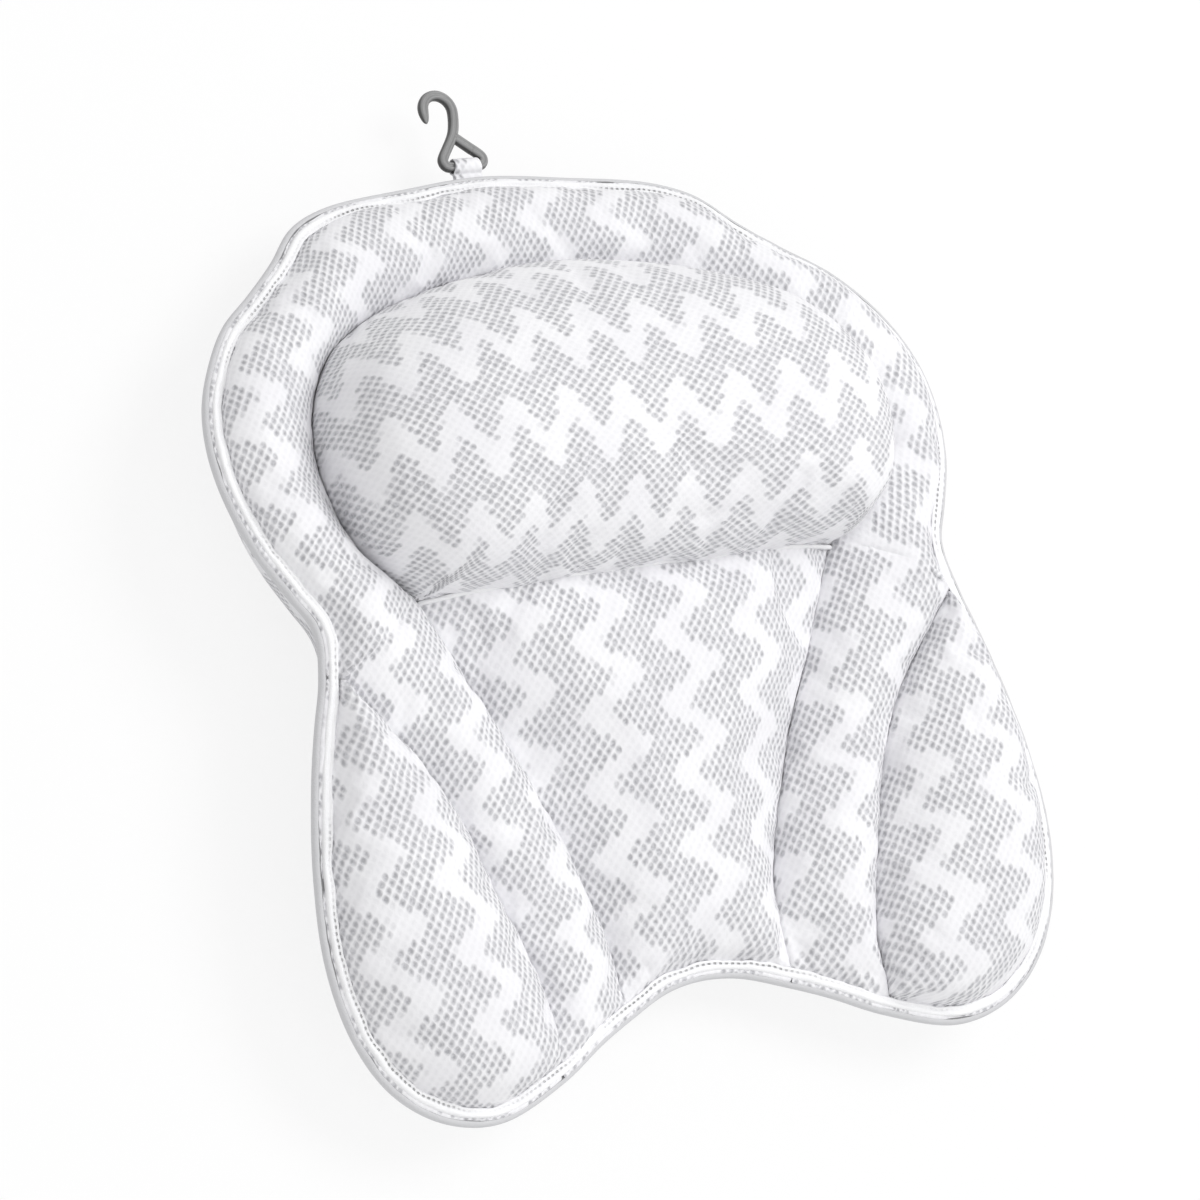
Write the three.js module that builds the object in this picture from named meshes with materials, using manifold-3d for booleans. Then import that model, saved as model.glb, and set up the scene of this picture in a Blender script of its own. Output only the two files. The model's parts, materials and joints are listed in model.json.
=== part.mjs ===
// Bath pillow: a butterfly-shaped pad of padded mesh with a raised head cushion, held to the
// bath by suction cups that swivel in eyelets, and hung up to dry by a hook in a fabric loop.
// Millimetres. The pad lies on its cups: +Z is the front, +Y the head end, +X the right side
// as seen from the front.
import * as THREE from 'three';
import { mergeVertices } from 'three/addons/utils/BufferGeometryUtils.js';
import Module from 'manifold-3d';

const wasm = await Module();
wasm.setup();

// Pad
const padWidth = 363;
const padLength = 400;
const relief = 36;              // the waist's edge above the foot arch's edge
const edgeLow = 9.4;            // the foot arch's edge above the back cover's flat face
const clearance = 0.3;          // between pieces that are sewn, seated or pressed together
const foldRoom = 1;             // between the binding's fold and the rims inside it
const fillingRoom = 1.2;        // between a cover and its filling
const coverThickness = 3;       // spacer mesh where it lies free
const rimThickness = 1.4;       // spacer mesh pressed flat in the binding
const sheetThickness = 0.6;     // backing sheet inside the pad
const seamLip = 1.2;            // flat strip beside a seam
const frameCrown = 13;          // how far each panel swells above the line between its seams
const wingCrown = 19;
const neckCrown = 11;
const endTaper = 46;            // length over which a channel flattens towards the binding
const neckTaper = 16;           // the same under the head cushion
const cuttingDepth = 30;        // how far cutting bodies reach past what they cut
const weld = 1e-4;              // corners closer than this are one corner

// Edge binding
const bindingWidth = 9;
const bindingWall = 0.7;

// Head cushion
const headCrown = 62;           // its top above its seam
const headBulge = 4;            // how far its neck side hangs over its seam
const headLean = 22;            // how far its head side leans back towards the neck
const fillingInset = 4;         // its filling inside its seam

// Suction cups and their eyelets
const cupStandOff = 17;         // floor to the back cover
const cupRadius = 27.5;
const cupRimWidth = 2.2;
const cupRimHeight = 1;
const cupHollow = 9.4;          // depth of the hollow
const cupNeckRadius = 5.2;
const cupShoulderRadius = 8.2;
const cupShoulderHeight = 2.6;
const cupHeadRadius = 8.4;
const cupHeadHeight = 2.2;
const eyeletWall = 0.8;
const eyeletFlange = 3.7;       // how far each flange reaches over the fabric

// Hanging loop and hook
const strapWidth = 13;
const strapThickness = 1;
const strapReach = 6.6;         // the hook's bar beyond the pad's edge
const loopOffset = 3;           // the loop is sewn this far to the left of the middle
const hookSlide = 1;            // and the hook has slid this far along in it
const hookRod = 4.6;            // thickness of the rod that the hook is moulded as
const hookBase = 21.4;          // length of the bar that the loop holds
const hookCorner = 2.7;         // centre-line radius of the bar's corners
const hookSplit = 13.4;         // bar to the point where the legs meet
const hookRadius = 8;           // the hook's bow, on its centre line
const hookRise = 22.9;          // bar to the bow's centre
const hookOffset = 7.6;         // the bow's centre to the left of the bar's middle
const hookTurns = {             // degrees that each round stretch of the rod turns through
  bow: [203, -8],
  leftCorner: [150, 270],
  rightCorner: [-90, 50],
};
const legShares = { mainEnd: 1 / 4, braceStart: 1 / 8 };

const halfWidth = padWidth / 2;
const halfLength = padLength / 2;
const backFace = cupStandOff;
const rimInset = bindingWall + foldRoom;
const lipInset = bindingWidth + clearance;
const rimTop = sheetThickness / 2 + clearance + rimThickness;
const bindingHalf = rimTop + clearance + bindingWall;
const halfGap = clearance / 2;

// Outline of the right half, from the middle of the head end to the middle of the foot arch:
// shares of half the width, half the length and the relief
const outlineShares = [
  [0, 1, 0.03], [0.23, 0.981, 0.06], [0.455, 0.949, 0.14], [0.565, 0.905, 0.21],
  [0.652, 0.826, 0.31], [0.745, 0.754, 0.42], [0.839, 0.686, 0.53], [0.912, 0.601, 0.65],
  [0.966, 0.506, 0.74], [0.991, 0.401, 0.83], [0.986, 0.291, 0.9], [0.956, 0.184, 0.95],
  [0.908, 0.09, 0.98], [0.868, 0.012, 1], [0.881, -0.084, 0.97], [0.914, -0.177, 0.9],
  [0.947, -0.28, 0.83], [0.988, -0.46, 0.71], [1, -0.64, 0.57], [0.967, -0.79, 0.44],
  [0.895, -0.901, 0.33], [0.781, -0.975, 0.26], [0.635, -0.998, 0.2], [0.447, -0.945, 0.15],
  [0.316, -0.884, 0.09], [0.215, -0.844, 0.05], [0.1, -0.805, 0.01], [0, -0.794, 0],
];
const waistIndex = 14;
const wingFootIndex = 23;
const channelFootIndex = 25;
const archIndex = 27;

// Seams of the right half, in the same shares; each runs on to the binding
const wingSeamShares = [[0.626, -0.335, 0.66], [0.519, -0.585, 0.46], [0.463, -0.775, 0.32]];
const neckSeamShares = [
  [0.575, 0.053, 0.77], [0.451, -0.17, 0.57], [0.367, -0.33, 0.36], [0.296, -0.5, 0.17],
  [0.244, -0.66, 0.06],
];
const headSeamShares = [
  [0, 0.76, 0.36], [0.17, 0.748, 0.38], [0.33, 0.718, 0.42], [0.48, 0.668, 0.51],
  [0.61, 0.59, 0.6], [0.69, 0.48, 0.68], [0.72, 0.36, 0.74], [0.71, 0.25, 0.77],
  [0.67, 0.145, 0.78], [0.575, 0.053, 0.77],
];
const headMiddleShare = 0.365;

// Suction cups: shares of half the width and half the length
const cupPlaceShares = {
  head: [0.468, 0.5],
  waist: [0.44, 0],
  foot: [0.579, -0.575],
};

// How finely each stretch is divided
const headSteps = 12;
const wingSteps = 11;
const footSteps = 3;
const archSteps = 4;
const roundSteps = 12;
const curveSteps = 12;
const hookSteps = 48;
const rodSteps = 4;
const easeShare = 0.3;          // how far the samples of a stretch crowd towards its ends

// Sections of the forms: where a panel's columns lie across it and which of them its filling
// follows, how full its crown is, how the back curves up round its flat middle, and the head
// cushion's rings, each with its share of the bulge, of the way to the middle and of the crown
const crossShares = [0.1, 0.28, 0.5, 0.72, 0.9];
const fillingColumns = [2, 3, 4, 5, 6];
const crownShares = { flatness: 2.2, fullness: 0.65 };
const riseShares = { flatness: 2, fullness: 0.6 };
const backRingShares = [0.92, 0.66, 0];
const backFlatShare = 0.78;
const headRingShares = [
  [0.6, 0, 0.13], [1, 0, 0.33], [0.6, 0, 0.58], [0, 0.04, 0.76], [0, 0.13, 0.88],
  [0, 0.3, 0.96], [0, 0.6, 0.995], [0, 1, 1],
];

const place = ([x, y, height]) => new THREE.Vector3(
  x * halfWidth, y * halfLength, backFace + edgeLow + height * relief);
const mirrored = (point) => new THREE.Vector3(-point.x, point.y, point.z);
const ease = (share) => THREE.MathUtils.lerp(
  share, (1 - Math.cos(Math.PI * share)) / 2, easeShare);
const swellTo = (away, { flatness, fullness }) => (1 - away ** flatness) ** fullness;
const bulge = (share) => swellTo(Math.abs(2 * share - 1), crownShares);
const rise = (share) => swellTo(1 - Math.min(share, 1), riseShares);

// A triangle list becomes one closed body with its faces outward
function body(triangles) {
  const kept = triangles.filter(([a, b, c]) => {
    const cross = new THREE.Vector3().crossVectors(b.clone().sub(a), c.clone().sub(a));
    return cross.length() > 0;
  });
  let volume = 0;
  for (const [a, b, c] of kept) volume += a.dot(new THREE.Vector3().crossVectors(b, c));
  const flat = kept.flatMap(([a, b, c]) => (volume > 0 ? [a, b, c] : [a, c, b]));
  const geometry = new THREE.BufferGeometry().setFromPoints(flat);
  return mergeVertices(geometry, weld);
}

// A body between two grids of the same size. Rows may run round in a ring, and points of a
// row that fall together close it.
function slab(outer, inner, wraps) {
  const triangles = [];
  const quad = (a, b, c, d) => triangles.push([a, b, c], [a, c, d]);
  const last = outer[0].length - 1;
  const rows = wraps ? outer.length : outer.length - 1;
  for (let i = 0; i < rows; i += 1) {
    const k = (i + 1) % outer.length;
    for (let j = 0; j < last; j += 1) {
      quad(outer[i][j], outer[k][j], outer[k][j + 1], outer[i][j + 1]);
      quad(inner[i][j], inner[i][j + 1], inner[k][j + 1], inner[k][j]);
    }
    quad(outer[i][0], inner[i][0], inner[k][0], outer[k][0]);
    quad(outer[i][last], outer[k][last], inner[k][last], inner[i][last]);
  }
  if (!wraps) {
    for (let j = 0; j < last; j += 1) {
      quad(outer[0][j], outer[0][j + 1], inner[0][j + 1], inner[0][j]);
      quad(outer[rows][j], inner[rows][j], inner[rows][j + 1], outer[rows][j + 1]);
    }
  }
  return body(triangles);
}

// Unit normals of a grid that faces the front (facing is 1) or the back (facing is -1)
function normalsOf(grid, wraps, facing) {
  const rows = grid.length;
  const columns = grid[0].length;
  let sum = 0;
  const normals = grid.map((row, i) => row.map((point, j) => {
    const before = wraps ? (i + rows - 1) % rows : Math.max(i - 1, 0);
    const after = wraps ? (i + 1) % rows : Math.min(i + 1, rows - 1);
    const along = grid[after][j].clone().sub(grid[before][j]);
    const across = row[Math.min(j + 1, columns - 1)].clone().sub(row[Math.max(j - 1, 0)]);
    const normal = across.cross(along).normalize();
    sum += normal.z;
    return normal;
  }));
  const turn = Math.sign(sum) * facing;
  return normals.map((row) => row.map((normal) => (
    normal.length() > 0 ? normal.multiplyScalar(turn) : new THREE.Vector3(0, 0, facing))));
}

// The same grid moved inwards by a depth for each point
function sunk(grid, normals, depth) {
  return grid.map((row, i) => row.map((point, j) => (
    point.clone().addScaledVector(normals[i][j], -depth(i, j)))));
}

function manifoldOf(geometry) {
  const bare = geometry.clone();
  bare.deleteAttribute('normal');
  bare.deleteAttribute('uv');
  const merged = mergeVertices(bare, weld);
  return new wasm.Manifold(new wasm.Mesh({
    numProp: 3,
    vertProperties: new Float32Array(merged.attributes.position.array),
    triVerts: new Uint32Array(merged.index.array),
  }));
}

function geometryOf(manifold) {
  const mesh = manifold.getMesh();
  const geometry = new THREE.BufferGeometry();
  geometry.setAttribute('position', new THREE.BufferAttribute(mesh.vertProperties, 3));
  geometry.setIndex(new THREE.BufferAttribute(mesh.triVerts, 1));
  return geometry;
}

// A profile of radius and height turned about the vertical
function turned(profile, steps) {
  const points = profile.map(([radius, height]) => new THREE.Vector2(radius, height));
  const geometry = new THREE.LatheGeometry(points, steps);
  geometry.rotateX(Math.PI / 2);
  geometry.deleteAttribute('normal');
  geometry.deleteAttribute('uv');
  const merged = mergeVertices(geometry, weld).toNonIndexed();
  const at = (i) => new THREE.Vector3().fromBufferAttribute(merged.attributes.position, i);
  const triangles = [];
  for (let i = 0; i < merged.attributes.position.count; i += 3) {
    triangles.push([at(i), at(i + 1), at(i + 2)]);
  }
  return body(triangles);
}

const group = new THREE.Group();
const fabric = { color: 0xf2f1f6, roughness: 0.85, metalness: 0 };
const fibre = { color: 0xfafafa, roughness: 0.95, metalness: 0 };
const tape = { color: 0xf6f6f8, roughness: 0.7, metalness: 0 };
const clearVinyl = { color: 0xe4ebee, roughness: 0.25, metalness: 0 };
const whitePlastic = { color: 0xf0f0f0, roughness: 0.4, metalness: 0 };
const greyPlastic = { color: 0x77787a, roughness: 0.45, metalness: 0 };

function add(name, geometry, look, x = 0, y = 0, z = 0) {
  geometry.computeVertexNormals();
  const mesh = new THREE.Mesh(geometry, new THREE.MeshStandardMaterial(look));
  mesh.name = name;
  mesh.position.set(x, y, z);
  group.add(mesh);
}

// Edge line: the closed outline, with the outward direction at each sample
const halfOutline = outlineShares.map(place);
const outline = new THREE.CatmullRomCurve3(
  [...halfOutline, ...halfOutline.slice(1, -1).reverse().map(mirrored)], true, 'centripetal');
outline.arcLengthDivisions = outline.points.length * curveSteps;
const outlineLengths = outline.getLengths();
const outlineAt = (index) => outlineLengths[index * curveSteps] / outlineLengths.at(-1);

function edge(from, to, steps, eased) {
  return Array.from({ length: steps + 1 }, (_, k) => {
    const share = eased ? ease(k / steps) : k / steps;
    const u = THREE.MathUtils.lerp(outlineAt(from), outlineAt(to), share);
    const along = outline.getTangentAt(u).setZ(0).normalize();
    const out = new THREE.Vector3(-along.y, along.x, 0);
    const onAxis = from === 0 && k === 0 || to === archIndex && k === steps;
    if (onAxis) {
      out.set(0, Math.sign(out.y), 0);
      along.set(Math.sign(along.x), 0, 0);
    }
    return { point: outline.getPointAt(u), out, along };
  });
}
const inset = ({ point, out }, depth, lift) => (
  point.clone().addScaledVector(out, -depth).add(new THREE.Vector3(0, 0, lift)));
const mirroredEdge = ({ point, out, along }) => (
  { point: mirrored(point), out: mirrored(out), along: mirrored(along).negate() });

const headEdge = edge(0, waistIndex, headSteps, false);
const wingEdge = edge(waistIndex, wingFootIndex, wingSteps, true);
const footEdge = edge(wingFootIndex, channelFootIndex, footSteps, false);
const archEdge = edge(channelFootIndex, archIndex, archSteps, false);
const rightEdge = [
  ...headEdge, ...wingEdge.slice(1), ...footEdge.slice(1), ...archEdge.slice(1)];
const ring = [...rightEdge, ...rightEdge.slice(1, -1).reverse().map(mirroredEdge)];

// Seams
function seam(points, steps, eased) {
  const curve = new THREE.CatmullRomCurve3(points, false, 'centripetal');
  return Array.from({ length: steps + 1 }, (_, k) => (
    curve.getPointAt(eased ? ease(k / steps) : k / steps)));
}
const waist = wingEdge[0];
const wingFoot = wingEdge.at(-1);
const channelFoot = footEdge.at(-1);
const wingSeam = seam(
  [inset(waist, lipInset, rimTop), ...wingSeamShares.map(place), inset(wingFoot, lipInset, rimTop)],
  wingSteps, true);
const neckSeam = seam(
  [...neckSeamShares.map(place), inset(channelFoot, lipInset, rimTop)], wingSteps, true);
const headSeam = seam(headSeamShares.map(place), headSteps, false);

// One row of a panel, from its outer to its inner side: a flat strip, the crown, a flat strip
function row(outerRim, outerLip, innerLip, innerRim, crown) {
  const middle = crossShares.map((share) => {
    const point = outerLip.clone().lerp(innerLip, share);
    point.z += crown * bulge(share);
    return point;
  });
  return [outerRim, outerLip, ...middle, innerLip, innerRim];
}

// A row between two seam points, each set back by half the gap
function seamRow(from, to, crown) {
  const step = to.clone().sub(from).setZ(0).normalize();
  const at = (point, depth) => point.clone().addScaledVector(step, depth);
  const lip = halfGap + seamLip;
  return row(at(from, halfGap), at(from, lip), at(to, -lip), at(to, -halfGap), crown);
}

// A row from the binding to a seam
function edgeRow(sample, to, crown) {
  const rim = inset(sample, rimInset, rimTop);
  const lip = inset(sample, lipInset, rimTop);
  const step = lip.clone().sub(to).setZ(0);
  const reach = Math.min(seamLip, step.length() / 4);
  step.normalize();
  const innerRim = to.clone().addScaledVector(step, halfGap);
  const innerLip = innerRim.clone().addScaledVector(step, reach);
  return row(rim, lip, innerLip, innerRim, crown);
}

// A flat row that follows a stretch of the edge, spaced like its neighbour
function footRow(stretch, depth, like) {
  const total = like[0].distanceTo(like.at(-1));
  const points = stretch.map((sample) => inset(sample, depth, rimTop));
  const curve = new THREE.CatmullRomCurve3(points, false, 'centripetal');
  const length = curve.getLength();
  return like.map((point) => {
    const share = like[0].distanceTo(point) / total;
    return curve.getPointAt(THREE.MathUtils.lerp(halfGap / length, 1 - halfGap / length, share));
  });
}

// A panel's cover, pressed thin along its flat strips and in its flat rows. Gives back the grid
// that its filling reaches.
function cover(name, rows, flatRows) {
  const normals = normalsOf(rows, false, 1);
  const last = rows[0].length - 1;
  const flat = (i, j) => flatRows.includes(i) || j < 2 || j > last - 2;
  normals.forEach((points, i) => points.forEach((normal, j) => {
    if (flat(i, j)) normal.set(0, 0, 1);
  }));
  const depth = (i, j) => (flat(i, j) ? rimThickness : coverThickness);
  add(name, slab(rows, sunk(rows, normals, depth), false), fabric);
  const under = sunk(rows, normals, () => coverThickness + fillingRoom);
  return under.map((points) => fillingColumns.map((j) => points[j]));
}

// Frame cover: up one inner channel, round the head cushion and down the other
const lengthAlong = (points, k) => points[k].distanceTo(points.at(-1));
const rightChannel = wingSeam.slice(0, -1).map((point, k) => seamRow(
  point, neckSeam[k], frameCrown * rise(lengthAlong(neckSeam, k) / endTaper)));
const headRows = headEdge.map((sample, k) => edgeRow(sample, headSeam[k], frameCrown));
const lipRow = footRow(footEdge, lipInset, rightChannel.at(-1));
const rimRow = footRow(footEdge, rimInset, rightChannel.at(-1));
const rightFrame = [...headRows, ...rightChannel, lipRow, rimRow];
const frameRows = [
  ...rightFrame.slice(1).reverse().map((points) => points.map(mirrored)), ...rightFrame];
const frameLast = frameRows.length - 1;
const frameFill = cover('frame_cover', frameRows, [0, 1, frameLast - 1, frameLast]);

// Wing covers
const wingSpan = Math.max(...wingSeam.map((point, k) => point.distanceTo(wingEdge[k].point)));
const wingRows = wingSeam.map((point, k) => {
  const sample = wingEdge[k];
  const span = Math.max(point.distanceTo(sample.point) - lipInset, 0) / (wingSpan - lipInset);
  return edgeRow(sample, point, wingCrown * Math.sqrt(span)).reverse();
});
for (const [k, way] of [[0, 1], [wingSteps, -1]]) {
  wingRows[k] = wingRows[k].map((point, j) => {
    const depth = j < wingRows[k].length - 1 ? lipInset : rimInset;
    return inset(wingEdge[k], depth, rimTop).addScaledVector(wingEdge[k].along, way * clearance);
  });
}
const wingFill = cover('right_wing_cover', wingRows, [0, wingSteps]);
cover('left_wing_cover', wingRows.map((points) => points.map(mirrored)), [0, wingSteps]);

// Neck cover: between the channels, from the foot arch to the head cushion
const archStretch = [...archEdge, ...archEdge.slice(0, -1).reverse().map(mirroredEdge)];
const neckTop = neckSeam[0].y;
const neckLow = neckSeam.at(-1).y;
const neckRows = neckSeam.slice(0, -1).map((point, k) => {
  const crown = neckCrown * rise(lengthAlong(neckSeam, k) / endTaper)
    * rise((neckTop - point.y) / neckTaper);
  return seamRow(point, mirrored(point), crown);
});
const neckLip = footRow(archStretch, lipInset, neckRows.at(-1));
const neckRim = footRow(archStretch, rimInset, neckRows.at(-1));
neckRows.forEach((points, k) => {
  const down = (neckTop - neckSeam[k].y) / (neckTop - neckLow);
  points.forEach((point, j) => {
    point.y += (neckLip[j].y - neckLip[0].y) * down ** 2;
    if (k === 0) point.y -= halfGap;
  });
});
const neckFill = cover('neck_cover', [...neckRows, neckLip, neckRim], [
  neckRows.length, neckRows.length + 1]);

// Head cushion cover: a closed seam line, with rings that swell out and then draw in
const lowerSeam = seam([neckSeam[0], mirrored(neckSeam[0])], 2 * archSteps, false);
const headRing = [
  ...headSeam, ...lowerSeam.slice(1, -1), ...headSeam.slice(1).reverse().map(mirrored)];
const headMiddle = new THREE.Vector3(0, headMiddleShare * halfLength, headSeam.at(-1).z);
const headOut = headRing.map((point, i) => {
  const count = headRing.length;
  const along = headRing[(i + 1) % count].clone().sub(headRing[(i + count - 1) % count]);
  return new THREE.Vector3(-along.y, along.x, 0).normalize();
});
const headGrid = headRing.map((point, i) => {
  const rim = point.clone().addScaledVector(headOut[i], -halfGap);
  const headward = (point.y - neckTop) / (headSeam[0].y - neckTop);
  return [rim, ...headRingShares.map(([out, inward, up]) => {
    const swell = point.clone().addScaledVector(headOut[i], out * headBulge * (1 - headward));
    swell.y -= up * headward * headLean;
    swell.lerp(new THREE.Vector3(headMiddle.x, headMiddle.y, point.z), inward);
    swell.z = THREE.MathUtils.lerp(point.z, headMiddle.z, inward) + up * headCrown;
    return swell;
  })];
});
const headNormals = normalsOf(headGrid, true, 1);
add('head_cushion_cover', slab(headGrid, sunk(headGrid, headNormals, (i, j) => (
  j === 0 ? rimThickness : coverThickness)), true), fabric);

// Back cover: flanged in the binding, rounded under, flat where the eyelets sit
const backOuter = ring.map((sample) => {
  const lip = inset(sample, lipInset, -rimTop);
  const rings = backRingShares.map((share) => {
    const scale = THREE.MathUtils.lerp(backFlatShare, 1, share);
    const climb = 1 - Math.sqrt(1 - share ** 2);
    const z = THREE.MathUtils.lerp(backFace, lip.z, climb);
    return new THREE.Vector3(lip.x * scale, lip.y * scale, z);
  });
  return [inset(sample, rimInset, -rimTop), lip, ...rings, new THREE.Vector3(0, 0, backFace)];
});
const backNormals = normalsOf(backOuter, true, -1);
for (const [rimNormal, lipNormal] of backNormals) {
  rimNormal.set(0, 0, -1);
  lipNormal.set(0, 0, -1);
}

// Backing sheet: sewn in all round, and over the back cover with room for the cups' heads.
// sheetFace gives the face that lies a height above the sheet's underside.
const headRoom = eyeletWall + cupHeadHeight + 3 * clearance;
function sheetFace(height) {
  const grid = sunk(backOuter, backNormals, (i, j) => (
    coverThickness + (j < 3 ? (clearance + headRoom) / 2 : headRoom) + height));
  const lift = height - sheetThickness / 2;
  return grid.map((points, i) => [
    inset(ring[i], rimInset, lift), inset(ring[i], lipInset, lift), ...points.slice(2)]);
}
add('backing_sheet', slab(sheetFace(sheetThickness), sheetFace(0), true), tape);

const holeRadius = cupNeckRadius + clearance + eyeletWall + clearance;
const backHoles = [];
for (const [x, y] of Object.values(cupPlaceShares)) {
  for (const side of [-1, 1]) {
    const hole = turned([
      [0, backFace - cuttingDepth], [holeRadius, backFace - cuttingDepth],
      [holeRadius, backFace + cuttingDepth], [0, backFace + cuttingDepth]], roundSteps);
    backHoles.push(manifoldOf(hole.translate(side * x * halfWidth, y * halfLength, 0)));
  }
}
const backInner = sunk(backOuter, backNormals, (i, j) => (
  j < 2 ? rimThickness : coverThickness));
let backSolid = manifoldOf(slab(backOuter, backInner, true));
for (const hole of backHoles) backSolid = backSolid.subtract(hole);
add('back_cover', geometryOf(backSolid), fabric);

// Fillings stand on the backing sheet and fill each cover
const sheetSeat = sheetFace(sheetThickness + clearance);
const underSeat = manifoldOf(slab(sheetSeat, sheetSeat.map((points) => points.map((point) => (
  new THREE.Vector3(point.x, point.y, -cuttingDepth)))), true));
function filling(name, top, wraps) {
  const bottom = top.map((points) => points.map((point) => (
    new THREE.Vector3(point.x, point.y, 0))));
  add(name, geometryOf(manifoldOf(slab(top, bottom, wraps)).subtract(underSeat)), fibre);
}
filling('frame_filling', frameFill.slice(3, -3), false);
filling('right_wing_filling', wingFill.slice(2, -2), false);
filling('left_wing_filling', wingFill.slice(2, -2).map((points) => points.map(mirrored)), false);
filling('neck_filling', neckFill.slice(1, -3), false);

const headInner = sunk(headGrid, headNormals, () => coverThickness + fillingRoom);
const headTop = headInner.map((points, i) => [
  headRing[i].clone().addScaledVector(headOut[i], -fillingInset), ...points.slice(2)]);
const headBase = headTop.map((points, i) => points.map((point, j) => {
  const base = points[0].clone().lerp(headMiddle, j / (points.length - 1));
  return base.setZ(0);
}));
add('head_cushion_filling', geometryOf(
  manifoldOf(slab(headTop, headBase, true)).subtract(underSeat)), fibre);

// Edge binding: tape folded round the covers' rims, open inwards
const bindingSection = [
  [0, bindingHalf], [0, -bindingHalf], [bindingWidth, -bindingHalf],
  [bindingWidth, bindingWall - bindingHalf], [bindingWall, bindingWall - bindingHalf],
  [bindingWall, bindingHalf - bindingWall], [bindingWidth, bindingHalf - bindingWall],
  [bindingWidth, bindingHalf],
];
const bindingTriangles = [];
ring.forEach((sample, i) => {
  const next = ring[(i + 1) % ring.length];
  bindingSection.forEach(([depth, lift], j) => {
    const [nextDepth, nextLift] = bindingSection[(j + 1) % bindingSection.length];
    const a = inset(sample, depth, lift);
    const b = inset(next, depth, lift);
    const c = inset(next, nextDepth, nextLift);
    const d = inset(sample, nextDepth, nextLift);
    bindingTriangles.push([a, b, c], [a, c, d]);
  });
});
add('edge_binding', body(bindingTriangles), tape);

// Eyelets and suction cups
const boreRadius = cupNeckRadius + clearance;
const flangeRadius = boreRadius + eyeletWall + eyeletFlange;
const eyeletBottom = backFace - clearance - eyeletWall;
const eyeletTop = backFace + coverThickness + clearance + eyeletWall;
const eyeletProfile = [
  [boreRadius, eyeletBottom], [flangeRadius, eyeletBottom],
  [flangeRadius, eyeletBottom + eyeletWall], [boreRadius + eyeletWall, eyeletBottom + eyeletWall],
  [boreRadius + eyeletWall, eyeletTop - eyeletWall], [flangeRadius, eyeletTop - eyeletWall],
  [flangeRadius, eyeletTop], [boreRadius, eyeletTop], [boreRadius, eyeletBottom],
];
const shoulderTop = eyeletBottom - clearance;
const shoulderBottom = shoulderTop - cupShoulderHeight;
const cupHeadBottom = eyeletTop + clearance;
const bellShares = [[0.86, 0.36], [0.56, 0.78]];
const hollowShares = [[0.86, 0.3], [0.48, 0.8]];
const cupProfile = [
  [0, cupHollow], ...hollowShares.toReversed().map(([out, up]) => [
    out * (cupRadius - cupRimWidth), up * cupHollow]),
  [cupRadius - cupRimWidth, 0], [cupRadius, 0], [cupRadius, cupRimHeight],
  ...bellShares.map(([out, up]) => [out * cupRadius, up * shoulderBottom]),
  [cupShoulderRadius, shoulderBottom], [cupShoulderRadius, shoulderTop],
  [cupNeckRadius, shoulderTop], [cupNeckRadius, cupHeadBottom],
  [cupHeadRadius, cupHeadBottom], [cupHeadRadius, cupHeadBottom + cupHeadHeight / 2],
  [cupNeckRadius, cupHeadBottom + cupHeadHeight], [0, cupHeadBottom + cupHeadHeight],
];
for (const [spot, [x, y]] of Object.entries(cupPlaceShares)) {
  for (const [side, way] of [['left', -1], ['right', 1]]) {
    const at = [way * x * halfWidth, y * halfLength];
    add(`${spot}_${side}_cup`, turned(cupProfile, roundSteps), clearVinyl, ...at);
    add(`${spot}_${side}_eyelet`, turned(eyeletProfile, roundSteps), whitePlastic, ...at);
  }
}

// Hanging loop: a strap folded round the hook's bar, its tail under the binding
const rodRadius = hookRod / 2;
const headEnd = ring[0].point;
const eyeRadius = rodRadius + clearance;
const foldRadius = eyeRadius + strapThickness;
const barZ = headEnd.z - bindingHalf - clearance - strapThickness;
const tail = strapReach + bindingWidth - clearance;
const loopShape = new THREE.Shape();
const wrap = Math.asin(strapThickness / foldRadius);
loopShape.moveTo(-tail, -strapThickness);
loopShape.absarc(0, 0, foldRadius, Math.PI + wrap, 3 * Math.PI - wrap, false);
loopShape.lineTo(-tail, strapThickness);
loopShape.closePath();
loopShape.holes.push(new THREE.Path().absarc(0, 0, eyeRadius, 0, 2 * Math.PI, true));
const loopGeometry = new THREE.ExtrudeGeometry(loopShape, {
  depth: strapWidth, bevelEnabled: false, curveSegments: roundSteps });
loopGeometry.translate(0, 0, -strapWidth / 2);
loopGeometry.rotateX(Math.PI / 2);
loopGeometry.rotateZ(Math.PI / 2);
add('hanging_loop', geometryOf(manifoldOf(loopGeometry)), tape,
  -loopOffset, headEnd.y + strapReach, barZ);

// Hook: a rod that runs from the tip over the bow, down one leg, along the bar in the loop and
// round the far corner; a second leg closes the triangle
function arc(x, y, radius, from, to, steps) {
  return Array.from({ length: steps + 1 }, (_, k) => {
    const angle = THREE.MathUtils.degToRad(THREE.MathUtils.lerp(from, to, k / steps));
    return new THREE.Vector3(x + radius * Math.cos(angle), y + radius * Math.sin(angle), 0);
  });
}
function rod(points, steps) {
  const path = new THREE.CatmullRomCurve3(points, false, 'centripetal');
  const section = new THREE.Shape().absarc(0, 0, rodRadius, 0, 2 * Math.PI, false);
  return manifoldOf(new THREE.ExtrudeGeometry(section, {
    steps, extrudePath: path, bevelEnabled: false, curveSegments: rodSteps }));
}
const cornerX = hookBase / 2 - hookCorner;
const barEnd = new THREE.Vector3(cornerX - hookCorner / 2, 0, 0);
const split = new THREE.Vector3(-rodRadius / 2, hookSplit, 0);
const bow = arc(-hookOffset, hookRise, hookRadius, ...hookTurns.bow, 2 * rodSteps);
const leftCorner = arc(-cornerX, hookCorner, hookCorner, ...hookTurns.leftCorner, rodSteps);
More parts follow.
